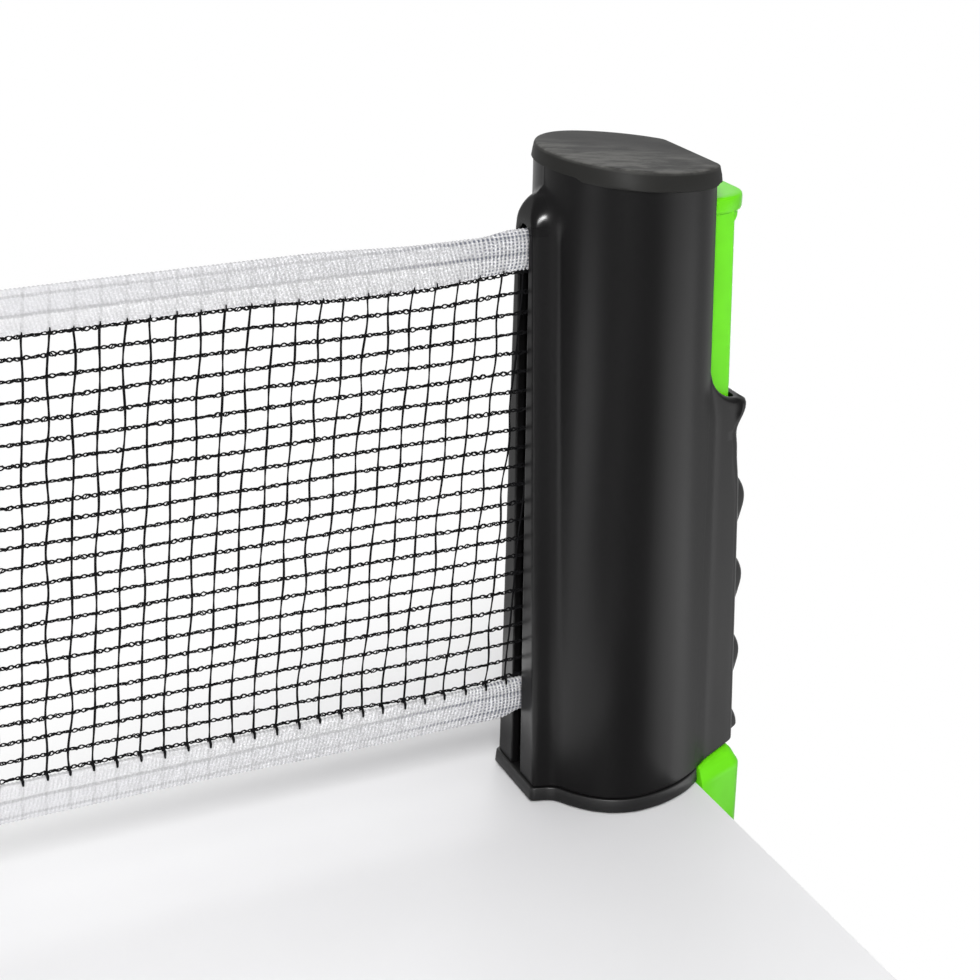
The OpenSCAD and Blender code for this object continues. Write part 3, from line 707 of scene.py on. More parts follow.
def shell_reach(h, a, z, inset=0.0):
    """Reach of the housing's skin at an angle from the slot, body and nose together."""
    nose = 0
    dome = ease((z - h.slot_top + 4.1 * MM) / (8 * MM))
    if cos(a) > 0.2:
        reach = nose_reach(h, z) - inset
        side = nose_side(h, z, 0, 152, 8.7)
        depth = 5.7 * MM
        flare = max(0, nose_side(h, z, depth * h.flare, 152.5, 10.4) - side) / depth
        side -= inset * h.nose_wall / h.wall
        flank = (side + flare * reach) / max(1e-6, abs(sin(a)) + flare * cos(a))
        nose = blend_min(reach / cos(a), flank, (1.3 + 1.6 * dome) * MM)
    # Both joins get rounder where the nose ends in its dome
    return blend_max(body_reach(h, a, z, inset), nose, (2.2 + 2.7 * dome) * MM)


def shell_point(h, a, z, inset=0.0):
    """The skin's point at an angle from the slot."""
    r = shell_reach(h, a, z, inset)
    return (-r * cos(a), r * sin(a))


def angle_at(h, x, z, inset=0.0):
    """Angle at which the skin's back half reaches x."""
    low, high = pi / 2, pi
    for _ in range(40):
        a = (low + high) / 2
        if shell_point(h, a, z, inset)[0] < x:
            low = a
        else:
            high = a
    return low


def back_x(h, z):
    """The flat back, which leans in a little over the grip."""
    return h.edge_x - 0.7 * MM * clamp((z - h.rim - h.rim_bend) / (h.height - h.rim - h.rim_bend))


def side_y(h, z, x):
    """Half width of the body's back half at x, run smoothly into the grip's side."""
    depth = mix(h.rear, h.rear_top, up(h, z))
    width = mix(h.half_w, h.half_w_top, up(h, z))
    body = width * sqrt(max(0.0, 1 - (x / depth) ** 2))
    merge = 4 * MM * ease((h.rim + h.rim_bend - z) / (16 * MM))
    if merge <= 0 and x <= h.edge_x:
        return body
    start = width * sqrt(1 - (h.edge_x / depth) ** 2)
    return blend_max(body, start + grip_slope(h, z, start) * (x - h.edge_x), merge)


def grip_corner(h, z, back, inset=0.0):
    """Centre of the grip's rounded corner."""
    return back - h.grip_r, h.grip_w * (1 - z / (1500 * MM)) - inset - h.grip_r


def grip_slope(h, z, start):
    """Slope of the grip's side in plan, from the body's back to the rounded corner."""
    cx, cy = grip_corner(h, z, grip_lean(h, z))
    turn = radians(GRIP_TURN)
    return (cy + h.grip_r * sin(turn) - start) / (cx + h.grip_r * cos(turn) - h.edge_x)


def slot_edge(h, z):
    """Half width of the slot at a height, with its round upper end, and the rounding of its edges."""
    half = h.slot_w / 2
    over = z - (h.slot_top - half)
    if over > 0:
        half = sqrt(max(0, half * half - over * over))
    return half, h.lip * clamp(half / h.lip)


def outer_half(h, z, inset):
    """The skin's +Y half: from the slot to the back, the channel's edge and its middle."""
    half, lip = slot_edge(h, z)
    first = atan2(half + lip, nose_reach(h, z) - inset)
    last = angle_at(h, back_x(h, z) - 0.6 * MM, z, inset)
    skin = [shell_point(h, mix(first, last, t), z, inset) for t in SKIN_STEPS]
    skin = [(x, max(y, side_y(h, z, x) - inset) if x > 8 * MM else y) for x, y in skin]
    flat = back_x(h, z)
    edge = 0.4 * MM
    turned, before, after = (flat, skin[-1][1] - MM), (flat, h.channel_w + edge), (flat - edge, h.channel_w)
    return (skin + bend(skin[-1], (flat, skin[-1][1] - edge), turned, 5) + [turned, before]
            + bend(before, (flat, h.channel_w), after, 3)
            + [after, (h.channel_x, h.channel_w), (h.channel_x, 0)])


def inner_half(h, z, count):
    """The chamber's +Y half, with as many points as the skin's."""
    first = atan2(slot_edge(h, z)[0], nose_reach(h, z) - h.wall)
    last = angle_at(h, h.divider_x, z, h.wall)
    skin = [shell_point(h, mix(first, last, t), z, h.wall) for t in SKIN_STEPS]
    rest = count - len(skin)
    return skin + [(h.divider_x, mix(skin[-1][1], 0, (i + 1) / rest)) for i in range(rest)]


def lip_points(h, z, inset):
    """The slot's wall and its rounded edge, from the chamber to the nose's face."""
    half, lip = slot_edge(h, z)
    return [(inset - nose_reach(h, z) + lip * (1 - sin(radians(a))), half + lip * (1 - cos(radians(a))))
            for a in (0, 30, 60)]


def body_shell(h, form):
    """Oval body with its nose, net slot, reel chamber and channel."""
    chamfer = 0.35 * MM
    half = h.slot_w / 2
    flat_top = 162.5 * MM
    # Close steps by the bend over the grip and round the slot's end
    heights = [z * MM for z in (
        *range(10, 100, 10), *range(100, 120, 2), *range(120, 150, 5), 148.5, 149.5, 150.4)]
    heights += [h.slot_top - half + half * sin(radians(a)) for a in range(0, 91, 15)]
    slot_rows = len(heights) + 2
    heights += spread(h.slot_top, flat_top, 24)[1:]
    rows = []
    for z, inset in [(h.foot_top, chamfer), (h.foot_top + chamfer, 0)] + [(z, 0) for z in heights]:
        outer = outer_half(h, z, inset)
        inner = inner_half(h, z, len(outer))
        rows.append(level(list(reversed(inner)) + lip_points(h, z, inset) + outer, z))
    count = len(outer)
    # Above the slot each point goes up to the sloping top edge
    rows += [[(x, y, mix(flat_top, h.height - tan(h.slope) * x, t)) for x, y, _ in rows[-1]] for t in (0.5, 1)]
    for side in (1, -1):
        laid = [form.row([(x, side * y, z) for x, y, z in row]) for row in rows]
        for i, (low, high) in enumerate(zip(laid, laid[1:])):
            if i + 1 < slot_rows:
                form.strip(low, high)
            else:
                form.strip(low[:count], high[:count])
                form.strip(low[-count:], high[-count:])
        for row in (laid[0], laid[-1]):
            form.strip(list(reversed(row[:count])), row[-count:])
        form.faces.append(tuple(laid[0][count - 1:-count + 1]))


def grip_lean(h, z):
    """Reach of the grip's plain back, which leans in a little."""
    return h.grip_x - 0.03 * z


def grip_back(h, z):
    """Reach of the grip's back, with a neck under its flared rim."""
    # Size of each swelling, its distance below the rim and its spread, in millimetres
    swellings = ((1.6, 2, 4), (-0.85, 8.4, 3.4), (-0.65, 15, 6))
    return grip_lean(h, z) + sum(size * MM * exp(-((z - h.rim + below * MM) / (wide * MM)) ** 2)
                                 for size, below, wide in swellings)


def ridge(h, z):
    """Height of the finger ridges: steep above each peak and long below it."""
    top = h.ridge_z + 0.38 * h.ridge_pitch
    if z > top:
        return 0
    phase = ((top - z) / h.ridge_pitch) % 1
    return h.ridge_h * (0.5 - 0.5 * cos(tau * phase ** 0.72))


def grip_outline(h, z, outer):
    """The grip's +Y half at a height, from inside the body to the middle of its back."""
    inset, bump, back = 0, ridge(h, z), grip_back(h, z)
    if not outer:
        neck = h.rim - 14 * MM
        inset, bump = h.grip_wall, 0
        back = grip_back(h, neck) - h.grip_wall + 0.9 * MM * ease((z - neck) / (9 * MM))
    cx, cy = grip_corner(h, z, back, inset)
    points = []
    for x in (19, 19.3, 19.7, 20.2, 21, 22, 23, 24.5, 26, 28, 30):
        x = min(x * MM, cx + h.grip_r * cos(radians(GRIP_TURN)) - 0.3 * MM)
        points.append((x, side_y(h, z, x) - inset - (0.4 * MM if outer and x < 19.1 * MM else 0)))
    # The ridges rise over a slant at their ends
    slant = 2.2 * MM
    return (points + arc(cx, cy, h.grip_r, GRIP_TURN, 0, 7) + [(back, mix(cy, h.ridge_w, 0.6))]
            + [(back + bump * ease(t), h.ridge_w - slant * t) for t in spread(0, 1, 4)]
            + [(back + bump, (h.ridge_w - slant) * t) for t in (0.66, 0.33, 0)])


def rim_height(h, x):
    """Upper edge of the grip: the bend out of the flat back, then level."""
    away = clamp((h.edge_x + h.rim_bend - x) / h.rim_bend)
    return h.rim + h.rim_bend - sqrt(h.rim_bend ** 2 - (away * h.rim_bend) ** 2)


def grip_shell(h, form):
    """Hollow grip behind the table's edge, with finger ridges and a rounded rim."""
    steady_low, steady_high = 12 * MM, 92 * MM
    fall = 1.3 * MM

    def height(part, value, x):
        """The lowest rows follow the slanted foot, the highest the rim, and the ones between are level."""
        if part == "steady":
            return value
        if part == "low":
            return mix(h.foot_top + 0.25 * max(0, x - h.edge_x), steady_low, value)
        return mix(steady_high, rim_height(h, x) - fall, value)

    ladder = [("low", v) for v in (0, 0.35 * MM / (steady_low - h.foot_top), 0.3, 0.65)]
    ladder += [("steady", v) for v in spread(steady_low, steady_high, 64)]
    ladder += [("high", v) for v in spread(0, 1, 16)[1:]]

    def skin(outer):
        grid = []
        for step in ladder:
            row = []
            for i, (near, _) in enumerate(grip_outline(h, height(*step, h.edge_x + h.rim_bend), outer)):
                x, y = grip_outline(h, height(*step, near), outer)[i]
                row.append((x, max(0, y - (0.3 * MM if outer and step == ladder[0] else 0)), height(*step, x)))
            grid.append(row)
        return grid

    outer, inner = skin(True), skin(False)
    rim = [((1 - cos(radians(turn))) * 0.75, sin(radians(turn)) * fall) for turn in (25, 45, 65, 80, 90)]
    rim = [[(mix(a[0], b[0], over), mix(a[1], b[1], over), mix(a[2], b[2], over) + lift)
            for a, b in zip(outer[-1], inner[-1])] for over, lift in rim]
    rim.append([(mix(a[0], b[0], 0.93), mix(a[1], b[1], 0.93), b[2] + fall * 0.96)
                for a, b in zip(outer[-1], inner[-1])])
    for side in (1, -1):
        laid = form.grid([[(x, side * y, z) for x, y, z in row] for row in outer + rim + list(reversed(inner))],
                         around=True)
        form.faces.append(tuple(row[0] for row in laid))


def screw_spots(h):
    """Where the foot's screws enter the housing."""
    spots = []
    for a in map(radians, (49.5, 124)):
        r = body_reach(h, a, h.foot_top, h.wall + 3 * MM)
        spots += [(-r * cos(a), side * r * sin(a)) for side in (-1, 1)]
    return spots


class NETCLAMP_OT_housing(bpy.types.Operator):
    """Build the housing with its net slot, channel and finger grip"""

    bl_idname = "net_clamp.housing"
    bl_label = "Housing"

    def execute(self, context):
        h = context.scene.net_clamp_housing
        form = Form()
        body_shell(h, form)
        grip_shell(h, form)
        post_r, hole_r, post_top = 3.3 * MM, 1.5 * MM, 16.4 * MM
        for spot in screw_spots(h):
            form.sleeve(spot, post_r, hole_r, h.foot_top, post_top)
        form.piece("housing", "housing_black", "housing", ["housing_shell"], crease=38)
        return {"FINISHED"}


# ---- Cap and foot ----

def cap_outline(h, inset):
    """Outline of the cap: the housing's oval with a straight back and two rear corners."""
    # Only the cap's top draws in at the front, where its rim stands upright
    upright = 0.95 * MM
    front = h.front_top + 0.5 * MM - min(inset, upright) * 0.1 - max(0, inset - upright)
    rear, width = h.rear_top + 1.8 * MM - inset, h.half_w_top + MM - inset
    points = []
    for i in range(144):
        a = tau * i / 144
        r = 1 / hypot(cos(a) / (front if cos(a) > 0 else rear), sin(a) / width)
        if cos(a) < -0.2:
            r = blend_min(r, (h.edge_x + 0.5 * MM - inset * 0.3) / -cos(a), 0.8 * MM)
        points.append((-r * cos(a), -r * sin(a)))
    return points


class NETCLAMP_OT_cap(bpy.types.Operator):
    """Build the cap with its slanted rim and the socket for the spindle"""

    bl_idname = "net_clamp.cap"
    bl_label = "Cap"

    def execute(self, context):
        h = context.scene.net_clamp_housing
        # Inset, rise over the housing and share of the skirt, which hangs lower along both sides
        profile = [(1.2, 0.0, 0), (1.15, 0.0, 1), (0.38, 0.0, 1)] + [
            (inset, rise, clamp(1 - rise / 2.0)) for inset, rise in (
                (0.35, 0.0), (0.0, 0.2), (0.05, 0.5), (0.45, 1.9), (0.95, 3.2), (1.05, 3.5), (1.25, 3.75),
                (1.55, 3.9), (2.0, 3.94), (4, 3.96), (8, 3.99), (13, 4.0), (18, 4.0))]
        rings = []
        for inset, rise, hang in profile:
            ring = []
            for x, y in cap_outline(h, inset * MM):
                skirt = 0.75 * MM * ease((abs(y) - 11.5 * MM) / (2.2 * MM)) * ease((19 * MM - x) / (2 * MM))
                lift = rise * MM - skirt * hang
                ring.append((x * cos(h.slope) + lift * sin(h.slope), y,
                             h.height - x * sin(h.slope) + lift * cos(h.slope)))
            rings.append(ring)
        form = Form()
        form.loft(rings)
        form.sleeve((0, 0), SOCKET_R, SPINDLE_R, 157.8 * MM, 165.5 * MM, 48)
        form.piece("cap", "cap_black", "housing", ["top_cap"], crease=50)
        return {"FINISHED"}


def foot_outline(h, inset):
    """Outline of the foot: the housing's own, a lip wider, cut off at the table's edge."""
    half = []
    for a in map(radians, (*range(37), *range(39, 128, 3), *range(128, 150), *range(152, 181, 4))):
        r = shell_reach(h, a, h.foot_top, inset)
        if cos(a) < -0.2:
            r = min(r, h.edge_x / -cos(a))
        half.append((-r * cos(a), r * sin(a)))
    return mirrored(half)


class NETCLAMP_OT_foot(bpy.types.Operator):
    """Build the foot plate, its rubber sheet and its screws"""

    bl_idname = "net_clamp.foot"
    bl_label = "Foot"

    def execute(self, context):
        h = context.scene.net_clamp_housing
        plate = ((-0.75, 0.5), (-0.88, 0.6), (-0.95, 0.85), (-0.68, 3.95), (-0.58, 4.13), (-0.4, 4.2))
        sheet = ((0.55, 0), (0.35, 0.15), (0.3, 0.4), (0.3, 1.2))
        seat_r, seat_low = 2.8 * MM, -1.2 * MM
        foot, pad = Form(), Form()
        for form, profile in ((foot, plate), (pad, sheet)):
            form.loft([level(foot_outline(h, inset * MM), z * MM) for inset, z in profile])
        foot.sleeve((0, 0), SOCKET_R, SPINDLE_R, 3.2 * MM, 12.9 * MM, 48)
        foot_piece = foot.piece("foot", "foot_black", "housing", ["base_foot"], crease=40)
        pad_piece = pad.piece("foot_sheet", "pad_rubber", "housing", ["foot_pad"], crease=40)
        for made, top in ((foot_piece, 2.7 * MM), (pad_piece, 2.4 * MM)):
            holes = Form()
            for x, y in screw_spots(h):
                holes.loft([circle(x, y, seat_r, z, 40) for z in (seat_low, top)])
            cut(made, holes, "screw_seats")
        dress("foot_screws", "screw_steel")
        return {"FINISHED"}


# ---- Clamp slider ----

def arm_outline(s, inset):
    """The arm's plan, a little narrower at its back."""
    r, front, back = s.corner, s.arm_front, s.arm_back - inset
    wide, narrow = s.arm_w - inset, s.arm_w_back - inset - r
    half = [(front, 0), (front, wide * 0.5), (front, wide - 0.4 * MM), (front + 0.12 * MM, wide - 0.12 * MM),
            (front + 0.4 * MM, wide - 0.06 * MM),
            (mix(front, back - r, 0.5), mix(s.arm_w, s.arm_w_back, 0.45) - inset)]
    half += arc(back - r, narrow, r, 80, 0, 8) + [(back, narrow * 0.5), (back, 0)]
    return mirrored(half)


def slider_arm(s, form):
    """Arm past the table's edge, with the band that leans in under the housing."""
    edge_x = 20 * MM
    # Height, inset and how much each ring rises towards the back
    profile = [(-17.5, 1.0, 0), (-17.35, 0.6, 0), (-17.0, 0.2, 0), (-16.5, 0, 0), (-10, 0, 0), (-1.2, 0, 0.16),
               (-0.2, 0.03, 0.16), (0.4, 0.25, 0.165), (1.0, 0.62, 0.175), (1.9, 1.1, 0.19), (2.7, 1.6, 0.21),
               (3.3, 2.3, 0.225), (3.6, 3.2, 0.235), (3.7, 4.4, 0.24), (3.72, 6.4, 0.25), (8.2, 6.7, 0)]
    form.loft([[(x, y, z * MM + rise * (x - edge_x)) for x, y in arm_outline(s, inset * MM)]
               for z, inset, rise in profile])


def box_outline(x0, x1, w, r_front, r_back, steps=5):
    """Plan of a block from x0 to x1 with half width w and rounded corners."""
    return mirrored([(x0, 0), (x0, w - r_front)] + arc(x0 + r_front, w - r_front, r_front, 180, 90, steps)[1:]
                    + arc(x1 - r_back, w - r_back, r_back, 90, 0, steps) + [(x1, 0)])


def slider_bar(s, form):
    """Upright bar with a back and two flanges, a little deeper towards its foot."""
    soft, r = 0.3 * MM, 0.9 * MM
    inner_w = s.bar_w - s.bar_t
    deep = s.bar_back + s.bar_lean
    rings = []
    for z, front, back in ((6 * MM, s.arm_front, deep), (s.flange_foot - 2 * MM, s.arm_front, deep),
                           (s.flange_foot, s.bar_front, deep), (80 * MM, s.bar_front, deep),
                           (110 * MM, s.bar_front, deep), (s.ledge_low + MM, s.bar_front, s.bar_back)):
        half = [(back, 0), (back, s.bar_w - r)] + arc(back - r, s.bar_w - r, r, 0, 90, 6)[1:]
        half += [(front + soft, s.bar_w), (front, s.bar_w - soft), (front, inner_w + soft),
                 (front + soft, inner_w), (back - s.bar_t, inner_w), (back - s.bar_t, 0)]
        rings.append(level(mirrored(half), z))
    form.loft(rings)


def slider_ledge(s, form):
    """Thumb ledge that grows out of the bar's back in a hollow curve."""
    front, soft = 20.4 * MM, 0.3 * MM
    rings = []
    # Height over the ledge's underside, share of its reach and of its step
    for z, grow, step in ((-2.8, -0.01, -0.03), (-2.2, 0.05, -0.03), (-1.7, 0.14, -0.03), (-1.2, 0.3, -0.03),
                          (-0.8, 0.5, -0.03), (-0.45, 0.7, -0.03), (-0.1, 0.86, -0.03), (0.02, 0.91, 0.7),
                          (0.3, 0.965, 0.95), (0.7, 1.0, 1.0)):
        back = mix(s.bar_back, s.ledge_back, grow)
        rings.append(level(box_outline(front, back, s.bar_w + step * s.ledge_step, soft,
                                       mix(0.9 * MM, s.ledge_r, ease(grow)), 8), s.ledge_low + z * MM))
    # Depth under its top and inset
    for drop, inset in ((0.75, 0.0), (0.4, 0.1), (0.15, 0.32), (0.02, 0.65), (0.0, 2.5)):
        inset *= MM
        rings.append(level(box_outline(front, s.ledge_back - inset, s.bar_w + s.ledge_step - inset, soft,
                                       s.ledge_r - inset, 8), s.ledge_high - drop * MM))
    form.loft(rings)


def jaw_outline(x_centre, x_end, w):
    """A tongue with a round front end."""
    return mirrored(arc(x_centre, 0, w, 180, 90, 24) + [(mix(x_centre, x_end, 0.5), w), (x_end, w), (x_end, 0)])


def slider_jaw(s, form):
    """Jaw under the table, with rounded edges."""
    top = s.bottom + s.jaw_t
    form.loft([level(jaw_outline(s.jaw_x, 24 * MM, s.jaw_w - inset * MM), z) for z, inset in (
        (s.bottom, 1.2), (s.bottom + 0.3 * MM, 0.5), (s.bottom + 1.2 * MM, 0.0), (top - MM, 0.0),
        (top - 0.25 * MM, 0.3), (top, 1.0))])


class NETCLAMP_OT_slider(bpy.types.Operator):
    """Build the green slider: arm, bar, thumb ledge and jaw"""

    bl_idname = "net_clamp.slider"
    bl_label = "Clamp slider"

    def execute(self, context):
        s = context.scene.net_clamp_slider
        form = Form()
        for part in (slider_arm, slider_bar, slider_ledge, slider_jaw):
            part(s, form)
        made = form.piece("slider", "slider_green", "slider", ["clamp_slider"], crease=35)
        # The arm is hollow from below
        coring = Form()
        coring.loft([level(box_outline(24.8 * MM, 30.3 * MM, 12.5 * MM, MM, MM), z)
                     for z in (s.bottom - MM, s.bottom + 11 * MM)])
        cut(made, coring, "arm_coring")
        smooth(made.data, 35)
        return {"FINISHED"}


class NETCLAMP_OT_jaw_pad(bpy.types.Operator):
    """Build the ribbed rubber pad on the jaw"""

    bl_idname = "net_clamp.jaw_pad"
    bl_label = "Jaw pad"

    def execute(self, context):
        s = context.scene.net_clamp_slider
        low = s.bottom + s.jaw_t
        form = Form()
        form.loft([level(jaw_outline(s.jaw_x, 19 * MM, s.jaw_w - 2 * MM - inset * MM), low + z * MM)
                   for z, inset in ((0, 0.1), (0.2, 0), (0.9, 0), (1.15, 0.15), (1.2, 0.5))])
        ribs, first, apart, margin = 10, -12, 3.2, 3.2 * MM
        for i in range(ribs):
            x = (first + apart * i) * MM
            reach = s.jaw_w - margin
            if x < s.jaw_x:
                reach = sqrt(max(0, reach ** 2 - (x - s.jaw_x) ** 2))
            form.loft([[(px + x, py, low + z * MM) for px, py in
                        box_outline(-half * MM, half * MM, reach, half * MM, half * MM, 4)]
                       for z, half in ((1.0, 0.85), (1.35, 0.8), (1.5, 0.55))])
        form.piece("jaw_rubber", "pad_rubber", "slider", ["jaw_pad"], crease=40)
        return {"FINISHED"}


def spring_path(x, y, pins, coils):
    """A pull spring's wire: hook round the lower pin, 14 coils, hook round the upper pin."""
    coil_r, hook_r, turns, steps = 2.1 * MM, 1.45 * MM, 14, 18

    def hook(z, side, start, stop):
        return [(x + side * 0.02 * MM, y + hook_r * sin(a), z - hook_r * cos(a))
                for a in map(radians, spread(start, stop, 14))]

    middle = [(x + coil_r * sin(tau * i / steps), y + coil_r * cos(tau * i / steps), z)
              for i, z in enumerate(spread(*coils, turns * steps))]
    path = hook(pins[0], -1, -200, 70) + middle + hook(pins[1], 1, 110, 380)
    # The joins are softened, and the ends stay
    for _ in range(2):
        path = [path[0]] + [tuple((a + 2 * b + c) / 4 for a, b, c in zip(*trio))
                            for trio in zip(path, path[1:], path[2:])] + [path[-1]]
    return path


class NETCLAMP_OT_clamp_springs(bpy.types.Operator):
    """Build the two pull springs between the housing and the slider"""

    bl_idname = "net_clamp.clamp_springs"
    bl_label = "Clamp springs"

    def execute(self, context):
        # Heights of the two pins and of the coils' ends
        pins, coils = (48.2 * MM, 106 * MM), (52.2 * MM, 102 * MM)
        for node in ("clamp_spring_left", "clamp_spring_right"):
            low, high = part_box(node)
            x, y = (low.x + high.x) / 2, (low.y + high.y) / 2
            form = Form()
            form.wire(spring_path(x, y, pins, coils), 0.4 * MM, 7)
            made = form.piece(node + "_wire", "spring_steel", None, [node])
            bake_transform(made)
        return {"FINISHED"}


# ---- Net ----

class NetPlace:
    """Where the net runs, worked out from the frame's own pieces."""

    def __init__(self, n):
        low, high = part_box("net_top_tape")
        self.end_x, self.inner_x, self.top, self.mesh_high = low.x, high.x, high.z, low.z
        low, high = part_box("net_bottom_tape")
        self.bottom, self.mesh_low = low.z, high.z
        self.out = self.inner_x - self.end_x
        # The run inside the housing leaves the roll as a tangent and starts a little past the slot
        self.lead = acos(n.roll_r / -self.inner_x) - pi / 2
        self.lead_start = 1.7 * MM
        self.lead_len = (sqrt(self.inner_x ** 2 - n.roll_r ** 2)
                         - sqrt((n.roll_r + n.bulge + 0.8 * MM) ** 2 - n.roll_r ** 2)) - self.lead_start

    def straight(self, u, w, z):
        """A point of the stretched net: distance from its free end, distance to the side, height."""
        return (self.end_x + u, w, z)

    def leading(self, u, w, z):
        """The same from inside the slot to the roll."""
        u += self.lead_start
        c, s = cos(self.lead), sin(self.lead)
        return (self.inner_x + u * c - w * s, u * s + w * c, z)


# How far the stretched net's edges and the rows beside them rise, at x millimetres

def top_tape_sag(x):
    return -1.1 * MM * ease((x + 80) / 30) * (1 - ease((x + 36) / 9))


def top_row_sag(x):
    return -1.35 * MM * ease((x + 95) / 33) * (1 - ease((x + 52) / 26)) + 0.25 * MM * ease((x + 34) / 8)


def bottom_row_sag(x):
    return -0.6 * MM * ease((x + 75) / 20) * (1 - ease((x + 36) / 12)) + 0.35 * MM * ease((-100 - x) / 30)


def bottom_tape_sag(x):
    return -0.95 * MM * ease((x + 120) / 60)


def column_places(n, p, count, seed):
    """For each upright thread a function from height to distance along the net."""
    draw = random.Random(seed)
    middle = (p.mesh_low + p.mesh_high) / 2

    def column(j):
        sway = [(draw.uniform(0.1, 0.28) * MM, draw.uniform(0, tau), draw.uniform(18, 40) * MM)
                for _ in range(2)]
        return lambda z: ((j - 0.6) * n.pitch + n.lean * (z - middle)
                          + sum(size * sin(z / long * tau + start) for size, start, long in sway))

    return [column(j) for j in range(count)]


def netting(form, lay, n, p, span, seed, sagging=False):
    """Chained rows, upright threads and their knots over a stretch of the net."""
    draw = random.Random(seed)
    low, high = p.mesh_low + 1.1 * MM, p.mesh_high - 0.55 * MM
    heights = spread(low, high, n.rows - 1)
    columns = column_places(n, p, int(span / n.pitch) + 4, seed + 1)
    waves = [(draw.uniform(0.05, 0.14) * MM, draw.uniform(0, tau), draw.uniform(25, 60) * MM)
             for _ in heights]

    def row_z(i, u):
        """Height of a row, which wanders a little and sags with the tape that is near."""
        size, start, long = waves[i]
        wander = size * sin(u / long * tau + start)
        if not sagging:
            return heights[i] + wander
        upper = exp(-(high - heights[i]) / (14 * MM))
        lower = exp(-(heights[i] - low) / (14 * MM))
        dip = 0.45 * MM * ease((u - span + 40 * MM) / (36 * MM))
        x = (p.end_x + u) / MM
        fall = top_row_sag(x) * upper + bottom_row_sag(x) * lower - dip * (1 - upper - lower)
        return heights[i] + wander * (1 - 0.6 * (upper + lower)) + fall

    def inside(place):
        return MM < place < span - MM

    def along(stops, steps):
        """Number of the stop, share of the way to the next one and distance, for each place on the net."""
        for k, (a, b) in enumerate(zip(stops, stops[1:])):
            for step in range(steps):
                u = mix(a, b, step / steps)
                if 0 <= u <= span:
                    yield k, step / steps, u

    for i, z in enumerate(heights):
        places = [column(z) for column in columns]
        stops = [mix(a, b, k / 3) for a, b in zip(places, places[1:]) for k in range(3)]
        eyes = [draw.choice((0.6, 0.85, 1.0, 1.2)) * draw.uniform(0.85, 1.15) for _ in stops]
        tilt = [draw.uniform(-0.12, 0.12) * MM for _ in stops]
        for strand in (1, -1):
            path, radii = [], []
            for k, t, u in along(stops, 6):
                swell = sin(pi * t) ** 1.3
                sign = strand if k % 2 else -strand
                path.append(lay(u, 0.16 * MM * strand * cos(pi * (k + t)),
                                row_z(i, u) + sign * swell * eyes[k] * n.eye / 2 + tilt[k] * swell))
                radii.append(n.thread / 2 * mix(1.15, 0.85, swell))
            form.thread(path, radii, 4)
        # A third, finer thread winds round the other two
        path, start, r = [], draw.uniform(0, tau), 0.42 * MM
        for k, t, u in along(stops, 5):
            turn = start + tau * (k + t) * 0.77
            path.append(lay(u, r * cos(turn), row_z(i, u) + r * eyes[k] * sin(turn)))
        form.thread(path, n.thread * 0.4, 4)
        # Knots where the uprights pass through the row
        for place in filter(inside, places):
            grow, lean = draw.uniform(0.85, 1.2) * MM, draw.uniform(-0.12, 0.12) * MM
            path = [lay(place + off * grow, 0, row_z(i, place) + lean * off) for off in (-0.7, -0.3, 0.3, 0.7)]
            form.thread(path, [0.12 * MM, 0.36 * grow, 0.36 * grow, 0.12 * MM], 5)
    for column in columns:
        first, last = column(low), column(high)
        for side in (-1, 1):
            path, radii = [], []
            start = draw.uniform(0, tau)
            for i, (below, above) in enumerate(zip(heights, heights[1:])):
                for t in (0, 0.2, 0.4, 0.6, 0.8):
                    z = mix(below, above, t)
                    u = column(z) + side * (0.1 + 0.07 * sin(z / (3 * MM) + start)) * MM * sin(pi * t) ** 0.7
                    if 0 <= u <= span:
                        path.append(lay(u, 0.05 * MM * side,
                                        z + mix(row_z(i, u) - below, row_z(i + 1, u) - above, t)))
                        radii.append(n.thin / 2 * (1 + 0.75 * abs(cos(pi * t)) ** 4))
            if len(path) < 3:
                continue
            # Each thread of a pair ends in a stitch over its own side of the tape
            over = (n.tape_t / 2 + 0.22 * MM) * side
            if sagging and inside(first) and path[0][2] < low + MM:
                base = row_z(0, first)
                path = [lay(first, over, base - draw.uniform(1.6, 2.4) * MM),
                        lay(first, over, base - 0.7 * MM)] + path
                radii = [0.26 * MM, 0.38 * MM] + radii
            if sagging and inside(last) and path[-1][2] > high - 5 * MM:
                base = row_z(n.rows - 1, last)
                path += [lay(last, 0.1 * MM * side, base), lay(last, over, base + 0.5 * MM),
                         lay(last, over, base + draw.uniform(1.0, 1.7) * MM)]
                radii += [0.3 * MM, 0.26 * MM, 0.14 * MM]
            form.thread(path, radii, 4)


def tape_section(n, z0, z1, outer):
    """Section of a tape folded over the net's edge, as (side, height) pairs: its skin and its lining."""
    half = n.tape_t / 2
    free, fold = (z0, z1) if outer > 0 else (z1, z0)
    outside = []
    for t in (0, 0.04, 0.12, 0.25, 0.34, 0.4, 0.46, 0.62, 0.8, 0.9):
        # The two seams pinch the fold
        pinch = 0.16 * MM * exp(-((t - 0.4) / 0.03) ** 2) + 0.26 * MM * exp(-(t / 0.08) ** 2)
        outside.append((half - pinch, free + outer * t * abs(z1 - z0)))
    outside += [(half * cos(a), fold - outer * 0.8 * half * (1 - sin(a))) for a in map(radians, (20, 45, 70))]
    hollow = half - n.cloth_t
    inside = [(side, mix(free, fold, t)) for side, t in (
        (0.04 * MM, 0), (0.1 * MM, 0.05), (hollow, 0.25), (hollow, 0.88), (0, 0.94))]
    return (outside + [(0, fold)] + [(-w, z) for w, z in reversed(outside)],
            list(reversed(inside + [(-w, z) for w, z in reversed(inside[:-1])])))


